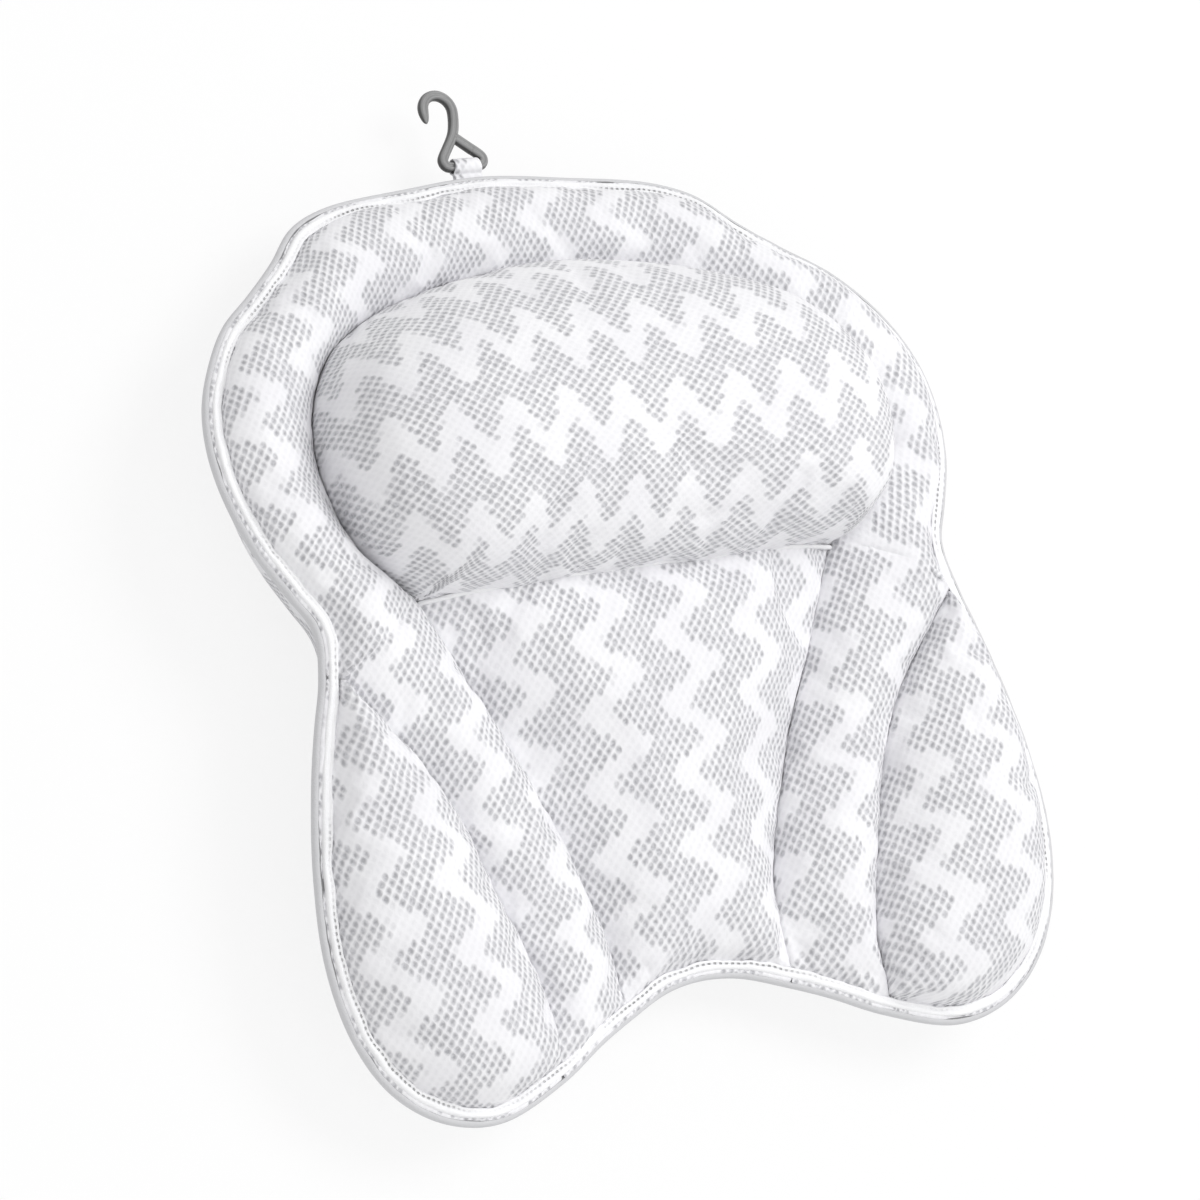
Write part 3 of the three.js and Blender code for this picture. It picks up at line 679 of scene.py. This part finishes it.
def squareInside(half, corners, cells, extra):
    # a square sheet laid inside a closed line, whose half runs from its top middle down the right
    # to its bottom middle: each point's step from the middle, the place on the line that it looks
    # out to, and the way out there
    upper, lower = corners
    side = sample(half, np.linspace(lower, upper, 2 * cells + 1))
    top = sample(half, np.linspace(upper, 0, cells + 1))
    foot = sample(half, np.linspace(lower, 1, cells + 1))
    ring = np.vstack([side[:-1], top[:-1], mirrored(top)[:0:-1], mirrored(side)[:0:-1],
                      mirrored(foot)[:-1], foot[:0:-1]])
    out = -leftOf(np.roll(ring, -1, axis=0) - np.roll(ring, 1, axis=0))
    index = np.arange(-cells - extra, cells + extra + 1)
    a, b = np.meshgrid(index, index)
    level = np.maximum(np.abs(a), np.abs(b))
    u, v = a / np.maximum(level, 1), b / np.maximum(level, 1)
    turn = np.where(np.abs(v) <= np.abs(u), np.where(u > 0, (v + 1) / 2, 2 + (1 - v) / 2),
                    np.where(v > 0, 1 + (1 - u) / 2, 3 + (u + 1) / 2))
    at = (turn / 4 * len(ring)) % len(ring)
    both = np.concatenate([np.vstack([line, line[:1]]) for line in (ring, out)], axis=1)
    spread = between(at, np.arange(len(ring) + 1), both)
    return level, spread[..., :3], spread[..., 3:]


def headGrid():
    right = smoothLine(headSeamStops, mirrored(headSeamStops[1]))
    corner = right[-1]
    half = np.vstack([right, corner * (0, 1, 1)])
    lengths = lengthsOf(half)
    lower = lengths[-2] / lengths[-1]
    cells, extra = headCushion["cells"], 2
    level, seam, side = squareInside(half, (headCushion["rowShares"] * lower, lower), cells, extra)
    middle = np.array((0, padMiddle.y + headCushion["middleShare"] * padHalf.y, corner[2]))
    profile = smoothLine(np.array(headProfileShares), steps=8)
    halfLength = headCushion["halfLength"]
    real = lengthsOf(profile * (headCushion["bulge"], halfLength, headCushion["crown"]))
    inwards = np.clip(1 - level / cells, 0, 1)
    swell, inward, up = np.moveaxis(between(inwards, real / real[-1], profile), -1, 0)
    headward = (seam[..., 1] - corner[1]) / (right[0, 1] - corner[1])
    grid = seam + side * (swell * headCushion["bulge"] * (1 - headward))[..., None]
    grid[..., 1] -= up * headward * headCushion["lean"]
    grid[..., :2] += (middle[:2] - grid[..., :2]) * inward[..., None]
    grid[..., 2] = seam[..., 2] + (middle[2] - seam[..., 2]) * inward + up * headCushion["crown"]
    grid[..., 2] -= np.maximum(level - cells, 0) / extra * padding["seamDepth"]
    for _ in range(headCushion["smoothed"]):
        inner = grid[1:-1, 1:-1]
        keep = (level[1:-1, 1:-1] >= cells - 1)[..., None]
        grid[1:-1, 1:-1] = np.where(keep, inner, inner * 0.5 + neighbours(grid) * 0.5)
    # how much further off on the cloth each point is than it looks from above
    spare = (1 - inwards) * real[-1] - (1 - inward) * halfLength
    gathered = headCushion["gathered"] * np.clip(headward * headCushion["gatherStart"], 0, 1)
    spare = np.maximum(spare, 0) * (1 - gathered)
    cloth = grid[..., :2] - middle[:2] + side[..., :2] * spare[..., None]
    cloth[..., 1] *= headCushion["slack"]
    return grid, cloth


def drifted(cloth, at, stops):
    stops = np.array(stops)
    return cloth - between(at, stops[:, 0], stops[:, 1:]) / 1000


clothDrift = {
    # share of the way round from the left foot, then millimetres sideways and lengthways
    "frame": [
        (0.03, 3, 19), (0.09, 5, 17), (0.16, 13, 16), (0.22, 24, 12), (0.28, 25, 9),
        (0.34, 22, 7), (0.41, 13, 6), (0.47, 6, 7), (0.53, -0.5, 7), (0.59, -4.5, 7),
        (0.66, -8.5, 8), (0.72, -18, 2), (0.78, -17, -3), (0.84, -7, -9), (0.91, -4.5, -11.5),
        (0.97, -9.5, -12.5)],
    # place lengthways, and the same
    "neck": [(-0.18, -8.5, 16.5), (-0.01, -3, 16.5)],
    "right_wing": [(-0.215, 20.5, 15.5), (-0.04, 20.5, 15.5)],
    "left_wing": [(-0.215, 26.5, 16.5), (-0.04, 10.5, 16.5)],
    # place sideways, and the same
    "head_cushion": [
        (-0.145, 19, 18), (-0.095, 15, 14.6), (-0.045, 13.5, 14.8), (0.005, 15.5, 12.1),
        (0.055, 21.5, 15.5), (0.105, 27.5, 23.5)],
}


# height and size of the soft lumps and of the fine creases
unevenness = {"panel": [(0.0008, 0.034), (0.0003, 0.009)], "back": [(0.0005, 0.04), (0.0002, 0.01)]}


def uneven(grid, kind, seed):
    lumps, creases = unevenness[kind]
    return (lumps[0] * roughness(grid, lumps[1], seed)
            + creases[0] * roughness(grid, creases[1], seed + 1))


stuffing = {
    "pressure": 4,
    "spare": 0.02,  # how much larger the cloth is cut than its seams
    "frames": 20,
    "held": 3,  # points along each rim that the seams hold
    "most": 0.0038,  # the furthest that a point may move
    "merge": 5e-5,
}


def stuffed(grid):
    # the cloth simulation: the panel's rims are held, its filling presses from behind
    sheet = pieceFrom(gridMesh("stuffing", grid), stuffing["merge"])
    facing(sheet, 1)
    verts = sheet.data.vertices
    tree = KDTree(len(verts))
    for vert in verts:
        tree.insert(vert.co, vert.index)
    tree.balance()
    index = np.array([tree.find(point)[1] for point in grid.reshape(-1, 3)])
    held = stuffing["held"]
    loose = np.zeros(grid.shape[:2], bool)
    loose[held:-held, held:-held] = True
    rims = sheet.vertex_groups.new(name="rims")
    rims.add(np.unique(index[~loose.reshape(-1)]).tolist(), 1, "REPLACE")
    cloth = sheet.modifiers.new("cloth", "CLOTH")
    settings = cloth.settings
    settings.vertex_group_mass = rims.name
    settings.use_pressure = True
    settings.uniform_pressure_force = stuffing["pressure"]
    settings.shrink_min = -stuffing["spare"]
    settings.effector_weights.gravity = 0
    cloth.collision_settings.use_collision = False
    cloth.point_cache.frame_end = stuffing["frames"]
    for frameNumber in range(1, stuffing["frames"] + 1):
        scene.frame_set(frameNumber)
    swollen = sheet.evaluated_get(bpy.context.evaluated_depsgraph_get()).data
    after, before = np.zeros((2, 3 * len(verts)))
    swollen.vertices.foreach_get("co", after)
    verts.foreach_get("co", before)
    move = (after - before).reshape(-1, 3)[index].reshape(grid.shape)
    far = np.linalg.norm(move, axis=2, keepdims=True)
    bpy.data.objects.remove(sheet)
    scene.frame_set(1)
    return grid + move * np.minimum(1, stuffing["most"] / np.maximum(far, 1e-9))


def addCover(mesh, way, finish, node):
    piece = pieceFrom(mesh)
    facing(piece, way)
    thickened(piece, padding["coverThickness"])
    subdivided(piece)
    finished(piece, finish, "mesh_fabric", node)


def addPanel(name, grid, flat, seed):
    grid = grid + normalsOf(grid) * uneven(grid, "panel", seed)[..., None]
    grid = stuffed(grid)
    finish = headMesh if name == "head_cushion" else padMesh
    addCover(gridMesh(f"{name}_panel", grid, flat), 1, finish, f"{name}_cover")
    return grid


def addPanels():
    grids = {"frame": frameGrid(), "neck": neckGrid(), "right_wing": wingGrid()}
    grids["left_wing"] = mirrored(grids["right_wing"])
    cloths = {name: laidFlat(grid) for name, grid in grids.items()}
    grids["head_cushion"], cloths["head_cushion"] = headGrid()
    at = {name: cloth[..., 1] for name, cloth in cloths.items()}
    at["head_cushion"] = cloths["head_cushion"][..., 0]
    at["frame"] = np.linspace(0, 1, len(grids["frame"]))[:, None] + 0 * at["frame"]
    for seed, (name, drift) in enumerate(clothDrift.items()):
        cloth = drifted(cloths[name], at[name], drift)
        grids[name] = addPanel(name, grids[name], cloth, seed + 1)
    return grids


grids = addPanels()
print("panels ready")

# Edge tape: folded over the covers' rims all round

tapeShape = {
    # inward and upward in millimetres, once round the folded tape's section
    "section": [
        (8.6, -2.6), (6, -3), (3, -3.1), (1, -2.8), (0.1, -1.9), (0, -0.8), (0.2, 0.3),
        (0.8, 1.05), (1.8, 1.4), (2.7, 1.25), (3.1, 1.15), (3.3, 1.7), (3.25, 2.4), (3.7, 3.1),
        (4.5, 3.35), (5.3, 2.95), (5.8, 2.7), (6.3, 3), (6.9, 3.1), (7.35, 2.8), (7.45, 2.2),
        (5, 1.6), (3.9, 0.9), (3.3, -0.3), (2.8, -1.9), (5, -2.3), (8.4, -2.1)],
    "outer": 2.5,  # where its loose part starts and where its front edge lies
    "inner": 7.3,
    "crease": 9,  # the section's stops where the crease and the stitches lie
    "stitches": 16,
    "wave": 0.0011,  # how far its inner edge wanders
    "waveSize": 0.013,
    "gather": 0.0006,  # small gathers along it
    "gatherSize": 0.0035,
    "roughSize": 0.006,
}


def sweepGrid(points, sideways, section, size=1.0):
    # the closed section carried along a line, its first number sideways and its second up
    size = np.reshape(size, (-1, 1, 1))
    upward = np.array((0, 0, 1))
    return (points[:, None] + sideways[:, None] * section[None, :, :1] * size
            + upward * section[None, :, 1:] * size)


def closedSection(section):
    return np.array(section + section[:1], float)


def wholeEdge():
    count = int(edgeLengths[-1] / padding["cell"])
    sides = edge(0, archIndex, np.linspace(0, 1, count + 1))
    return [np.concatenate([side, mirrored(side)[-2:0:-1]]) for side in sides]


def noiseAlong(points, size, seed):
    return roughness(points[:, None], size, seed)[:, 0]


def addTape():
    points, out = wholeEdge()
    section = closedSection(tapeShape["section"])
    grid = sweepGrid(points, -out, section / 1000)
    depth, height = section.T
    loose = (depth - tapeShape["outer"]) / (tapeShape["inner"] - tapeShape["outer"])
    nearInner = np.clip(loose, 0, 1)[None, :, None]
    wander = tapeShape["wave"] * noiseAlong(points, tapeShape["waveSize"], 11)
    gather = tapeShape["gather"] * noiseAlong(points, tapeShape["gatherSize"], 12)
    grid -= out[:, None] * (wander + gather)[:, None, None] * nearInner
    rough = roughness(grid, tapeShape["roughSize"], 13) * tapeShape["gather"]
    grid[..., 2] += (rough + gather[:, None]) * np.clip(height / 2, 0, 1)[None]
    grid = np.concatenate([grid, grid[:1]])
    run = lengthsOf(np.vstack([points, points[:1]]))
    around = lengthsOf(section)
    flat = np.stack(np.broadcast_arrays(run[:, None], around[None] / 1000), -1)
    piece = pieceFrom(gridMesh("edge_tape", grid, flat))
    subdivided(piece)
    finish = tapeFinish(*(float(around[tapeShape[key]]) for key in ("crease", "stitches")))
    finished(piece, finish, "binding_tape", "edge_binding")
    return finish


whiteTape = addTape()

# Ridge: the folded edge that stands along the head cushion's lower seam

ridge = {
    # towards the foot and upward in millimetres
    "section": [(-0.9, -1), (-1, 0.7), (-0.6, 1.5), (0.1, 1.8), (0.8, 1.5), (1.1, 0.7), (1, -1)],
    "steps": 110,
    "forward": 0.0012,  # of the neck's upper edge
    "lift": 0.0006,
    "held": 2,  # steps of the neck's cloth beyond that edge
    "sideWave": 0.6,  # share of its wave that goes to and fro
    "wave": 0.0005,
    "waveSize": 0.012,
    "around": 0.0164,  # its place in the tape's colours, which is white
}


def addRidge():
    held = ridge["held"]
    neckEdge = grids["neck"][held, held:-held]
    shares = np.linspace(0, 1, ridge["steps"])
    points = sample(neckEdge, shares) + (0, -ridge["forward"], ridge["lift"])
    wave = ridge["wave"] * noiseAlong(points, ridge["waveSize"], 31)
    points = points + wave[:, None] * (0, ridge["sideWave"], 1)
    footward = np.array([(0, -1.0, 0)])
    grid = sweepGrid(points, footward, closedSection(ridge["section"]) / 1000)
    flat = grid[..., :2].copy()
    flat[..., 1] = ridge["around"]
    piece = pieceFrom(gridMesh("head_seam_ridge", grid, flat), closeEnds=True)
    subdivided(piece)
    finished(piece, whiteTape, "binding_tape")


addRidge()

# Back: the cover curves up round its flat middle, where the cups' eyelets sit

back = {
    "corners": (0.3, 0.78),  # where its square cloth's corners lie along half the edge
    "cells": 46,
    "curveCells": 12,  # squares between the edge and the flat middle
    "flatShare": 0.78,
    "face": 0.017,  # its flat part above the floor
    "wallCloth": 0.8,  # cloth in its round wall, a share of its height
    "calm": 0.15,  # unevenness of its flat middle, a share of the wall's
    "calmHeight": 0.004,
    "sheetRoom": 0.0069,  # backing sheet above its outer face
    "sheetInset": 1.5,  # share taken off per metre of that
    "sheetHems": 0.02,  # sewn in at both sides together
    "sheetThickness": 0.0006,
}


def backGrid(lift, raised=0.0):
    # from the rim, lifted off the middle of the tape, round to the flat face
    cells, curved = back["cells"], back["curveCells"]
    level, line, out = squareInside(edgeLine, back["corners"], cells, 2)
    depth = np.interp(level, (cells, cells + 2), (tape["lipInset"], tape["rimInset"]))
    lip = line - out * depth[..., None] + (0, 0, lift)
    angle = np.clip((cells - level) / curved, 0, 1) * math.pi / 2
    share = np.cos(angle)
    flat = back["flatShare"]
    spread = np.where(level >= cells - curved, flat + (1 - flat) * share,
                      flat * level / (cells - curved)) * (1 - back["sheetInset"] * raised)
    middle = np.array((0, padMiddle.y))
    face = back["face"] + raised
    grid = lip.copy()
    grid[..., :2] = middle + (lip[..., :2] - middle) * spread[..., None]
    grid[..., 2] = face + (lip[..., 2] - face) * (1 - np.sin(angle))
    return grid, out


def addBack():
    grid, out = backGrid(-tape["rimTop"])
    height = grid[..., 2:] - back["face"]
    rough = uneven(grid, "back", 21)
    rough *= np.clip(height[..., 0] / back["calmHeight"], back["calm"], 1)
    flat = (grid + out * height * back["wallCloth"])[..., :2]
    grid[..., 2] += np.abs(rough)
    addCover(gridMesh("back_panel", grid, flat), -1, padMesh, "back_cover")

    grid, _ = backGrid(0.0, back["sheetRoom"])
    sheet = pieceFrom(gridMesh("backing_cloth", grid))
    thickened(sheet, back["sheetThickness"], 0)
    finished(sheet, lining, "lining_cloth", "backing_sheet")
    return BVHTree.FromObject(sheet, bpy.context.evaluated_depsgraph_get())


sheetTree = addBack()

# Fibre fillings: each fills its panel and stands on the backing cloth

filling = {
    "room": 0.0046,  # from the middle of the cover's cloth
    "seat": 0.001,  # from the middle of the backing cloth
    "step": 2,
    "thinnest": 0.0008,
    "smoothed": 6,
    "merge": 1e-4,
    "above": 0.3,
    # the rows and the columns of the cover's cloth that it lies under
    "under": {"frame": [(12, -12), (7, -6)], "neck": [(8, -12), (8, -8)],
              "right_wing": [(14, -14), (8, -6)], "left_wing": [(14, -14), (8, -6)],
              "head_cushion": [(5, -5), (5, -5)]},
}


def addFilling(name, rows, columns):
    grid = grids[name]
    smooth = grid.copy()
    for _ in range(filling["smoothed"]):
        smooth[1:-1, 1:-1] = (smooth[1:-1, 1:-1] + neighbours(smooth)) / 2
    smooth[..., 2] = np.minimum(smooth[..., 2], grid[..., 2])
    under = smooth - normalsOf(smooth) * filling["room"]
    top = under[rows[0]:rows[1]:filling["step"], columns[0]:columns[1]:filling["step"]]
    mesh = gridMesh(f"{name}_fibre", top)
    above, down = Vector((0, 0, filling["above"])), Vector((0, 0, -1))
    with building(mesh) as build:
        bmesh.ops.remove_doubles(build, verts=build.verts, dist=filling["merge"])
        made = bmesh.ops.extrude_face_region(build, geom=build.faces[:], use_keep_orig=True)
        for vert in made["geom"]:
            if isinstance(vert, bmesh.types.BMVert):
                hit = sheetTree.ray_cast(vert.co + above, down)[0]
                seat = hit.z + filling["seat"] if hit else vert.co.z - filling["thinnest"]
                vert.co.z = min(seat, vert.co.z - filling["thinnest"])
    piece = pieceFrom(mesh)
    finished(piece, fibre, "fibre_filling", f"{name}_filling")


for name, place in filling["under"].items():
    addFilling(name, *place)
print("back and fillings ready")

# Suction cups and eyelets

cupShape = {
    "steps": 64,
    # radius and height in millimetres, from the middle of the hollow round to the top
    "profile": [
        (0, 9.4), (6, 9.1), (12.1, 7.5), (18, 5.2), (21.8, 2.9), (24.2, 1.1), (25.3, 0),
        (26.9, 0), (27.5, 0.4), (27.3, 1.1), (25.8, 2.8), (23.6, 4.8), (19.5, 7.6), (15.4, 10.1),
        (11.5, 11.9), (9.2, 12.9), (8.3, 13.3), (8.2, 13.6), (8.2, 15.3), (7.9, 15.6),
        (5.2, 15.6), (5.2, 21.4), (8, 21.4), (8.4, 21.8), (8.3, 22.6), (7.2, 23.3), (4.8, 23.7),
        (0, 23.8)],
}
eyeletShape = {
    "steps": 48,
    "profile": [(5.5, 15.9), (9.6, 15.9), (10, 16.2), (9.8, 16.7), (6.6, 16.7), (6.3, 17),
                (6.3, 20), (6.6, 20.3), (9.8, 20.3), (10, 20.8), (9.6, 21.1), (5.5, 21.1)],
}


def turnedPiece(name, shape, centre, closed):
    mesh = bpy.data.meshes.new(name)
    with building(mesh) as build:
        verts = [build.verts.new((radius / 1000, 0, height / 1000))
                 for radius, height in shape["profile"]]
        ends = verts[1:] + (verts[:1] if closed else [])
        edges = [build.edges.new(pair) for pair in zip(verts, ends)]
        bmesh.ops.spin(build, geom=verts + edges, cent=(0, 0, 0), axis=(0, 0, 1),
                       angle=2 * math.pi, steps=shape["steps"], use_merge=True)
        bmesh.ops.translate(build, verts=build.verts, vec=(centre.x, centre.y, 0))
    return pieceFrom(mesh, 1e-5)


def addCups():
    rows, sides = ("head", "waist", "foot"), ("left", "right")
    for spot in [f"{row}_{side}" for row in rows for side in sides]:
        node = f"{spot}_cup"
        low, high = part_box(node)
        cup = turnedPiece(f"{spot}_suction_cup", cupShape, (low + high) / 2, False)
        finished(cup, clearVinyl, "clear_vinyl", node, body=node)
        ring = turnedPiece(f"{spot}_eyelet_ring", eyeletShape, (low + high) / 2, True)
        finished(ring, whitePlastic, "white_plastic", f"{spot}_eyelet")


addCups()

# Hanging loop and hook

hook = {
    "rod": 0.0023,  # half its thickness
    "cell": 0.0006,
    "base": 0.02,  # width of its eye at the bar
    "corner": 0.0027,  # the eye's rounded corners
    "corners": [(150, 270), (-90, 50)],
    "split": 0.0134,  # height at which its two legs meet
    "legShares": (0.3, 0.5),  # where the second leg starts and the rod ends
    "radius": 0.0072,  # its bow and the bow's middle
    "rise": 0.026,
    "offset": 0.0057,
    "bow": (178, -8),
    "tip": 0.0054,  # how far its tip hangs down
    "tipRound": 0.0075,  # length over which it gets thinner
    "tipEnd": 0.02,
    # the rod's section, shares of half its thickness: flat sides, and a groove along the front
    "section": [
        (1, 0), (0.9, 0.5), (0.62, 0.86), (0.34, 0.98), (0.2, 0.86), (0, 0.76), (-0.2, 0.86),
        (-0.34, 0.98), (-0.62, 0.86), (-0.9, 0.5), (-1, 0), (-0.9, -0.5), (-0.62, -0.86),
        (0, -1), (0.62, -0.86), (0.9, -0.5)],
}


def arc(x, y, radius, turn, count):
    angles = np.radians(np.linspace(*turn, count + 1))
    return np.stack([x + radius * np.cos(angles), y + radius * np.sin(angles), 0 * angles], 1)


def hookRod(name, stops, thinned=None):
    # a rod through the stops, whose first end gets thinner over this length
    line = smoothLine(np.vstack(stops), steps=12)
    shares = np.linspace(0, 1, int(lengthsOf(line)[-1] / hook["cell"]))
    line = sample(line, shares)
    side = leftOf(np.gradient(line, axis=0))
    size = np.ones(len(shares))
    if thinned:
        near = np.clip(shares * lengthsOf(line)[-1] / thinned, 0, 1)
        size = np.sqrt(np.clip(1 - (1 - near) ** 2, hook["tipEnd"], 1))
    section = closedSection(hook["section"])
    flat = np.broadcast_to(section / 1000, (len(line), *section.shape))
    grid = sweepGrid(line, side, section * hook["rod"], size) + np.array(barPlace)
    return pieceFrom(gridMesh(name, grid, flat), closeEnds=True)


def joined(piece, other):
    # one closed body out of two that overlap
    union = piece.modifiers.new("union", "BOOLEAN")
    union.operation, union.solver, union.object = "UNION", "EXACT", other
    evaluated = piece.evaluated_get(bpy.context.evaluated_depsgraph_get())
    mesh = bpy.data.meshes.new_from_object(evaluated)
    piece.modifiers.clear()
    piece.data = mesh
    bpy.data.objects.remove(other)


barPlace = next(Vector(joint["pos_m"]) for joint in frame["record"]["behaviour"]["joints"]
                if joint["name"] == "hook_swing")


def addHook():
    corner = hook["corner"]
    cornerX = hook["base"] / 2 - corner
    split = np.array((-hook["rod"] / 2, hook["split"], 0))
    tip = np.array((-hook["offset"] - hook["radius"], hook["rise"] - hook["tip"], 0))
    bow = arc(-hook["offset"], hook["rise"], hook["radius"], hook["bow"], 9)
    left, right = (arc(x, corner, corner, turn, 4)
                   for x, turn in zip((-cornerX, cornerX), hook["corners"]))
    stem = split + (0, hook["rod"], 0)
    barEnd = np.array((cornerX - corner / 2, 0, 0))
    legStart, legEnd = (right[-1] + (split - right[-1]) * share for share in hook["legShares"])
    main = hookRod("swinging_hook", [tip, bow, stem, left, -barEnd, barEnd, right, legEnd],
                   hook["tipRound"])
    leg = hookRod("leg", [legStart, legEnd, split])
    joined(main, leg)
    finished(main, greyPlastic, "grey_plastic", "hook", body="hook")


strap = {
    "width": 0.0146,
    "thickness": 0.0009,
    "eye": 0.0027,  # inner radius of its turn round the bar
    "turn": 150,  # degrees that it goes round to each side
    "shift": 0.0003,
    "tails": (0.0145, 0.0035),  # from the bar back to its tails' ends
    "tailHeight": 0.55,  # above or below the bar, in thicknesses
    "pinch": 0.14,  # how much narrower it is at the bar
    "pinchReach": 0.004,
}


def addLoop():
    middle = strap["eye"] + strap["thickness"] / 2
    turn = np.radians(np.linspace(-strap["turn"], strap["turn"], 25))
    fold = np.stack([np.cos(turn), np.sin(turn)], 1) * middle
    tails = np.linspace(*strap["tails"], 8)
    lower = np.stack([-tails, 0 * tails - strap["thickness"] * strap["tailHeight"]], 1)
    line = np.vstack([lower, fold, lower[::-1] * (1, -1)])
    line = sample(smoothLine(np.column_stack([np.zeros(len(line)), line]), steps=4),
                  np.linspace(0, 1, 70))
    across = np.linspace(-0.5, 0.5, 13)
    fromBar = (line[:, 1] - middle * 0.6) / strap["pinchReach"]
    pinch = 1 - strap["pinch"] * np.exp(-(fromBar**2))
    grid = np.repeat(line[:, None], len(across), axis=1)
    grid[..., 0] = across[None] * strap["width"] * pinch[:, None] + strap["shift"]
    grid += np.array(barPlace)
    run = lengthsOf(line)
    flat = np.stack(np.broadcast_arrays(across[None] * strap["width"], run[:, None]), -1)
    piece = pieceFrom(gridMesh("loop_strap", grid, flat))
    thickened(piece, strap["thickness"], 0)
    subdivided(piece)
    finished(piece, padMesh, "mesh_fabric", "hanging_loop")


addHook()
addLoop()
print("cups, hook and loop ready")

# Stage

stage = {"floor": 6.0, "floorColour": grey(0.93), "camera": 0.84, "world": 0.65}


def addStage():
    mesh = bpy.data.meshes.new("floor")
    with building(mesh) as build:
        bmesh.ops.create_grid(build, x_segments=1, y_segments=1, size=stage["floor"])
    floor = linked("floor", mesh)
    finish = Finish("floor", Roughness=0.9, Base_Color=stage["floorColour"])
    path = finish.node("LightPath")
    seen = path.most(path.beside("Is Glossy Ray")).most(path.beside("Is Transmission Ray"))
    glow = finish.node("Emission", (), {"Color": (1, 1, 1, 1), "Strength": 1})
    surface = finish.node("MixShader", (), {
        0: seen * stage["camera"], 1: Wire(finish, finish.shader.outputs[0]), 2: glow})
    finish.tree.links.new(surface.socket, finish.tree.nodes["Material Output"].inputs[0])
    floor.data.materials.append(finish.data)


def addWorld():
    # white to the camera, and darker for the light that falls on the pad
    air = Finish("studio", "worlds", "Background", Color=(1, 1, 1, 1))
    air.feed("Strength", air.node("MapRange", (), {
        "Value": air.node("LightPath"), "To Min": stage["world"], "To Max": 1}))
    scene.world = air.data


lamps = {
    "key": {"place": (1.12, 0.42, 2.3), "size": 1.6, "power": 29},
    "fill": {"place": (-0.3, -1.2, 1.5), "size": 1.2, "power": 4},
}


def addLamps():
    for name, values in lamps.items():
        light = bpy.data.lights.new(name, "AREA")
        light.shape, light.size, light.energy = "DISK", values["size"], values["power"]
        lamp = linked(name, light)
        lamp.location = values["place"]
        lamp.rotation_euler = (-Vector(values["place"])).to_track_quat("-Z", "Y").to_euler()


addStage()
addWorld()
addLamps()
scene.view_settings.view_transform = "Standard"
print("stage ready")
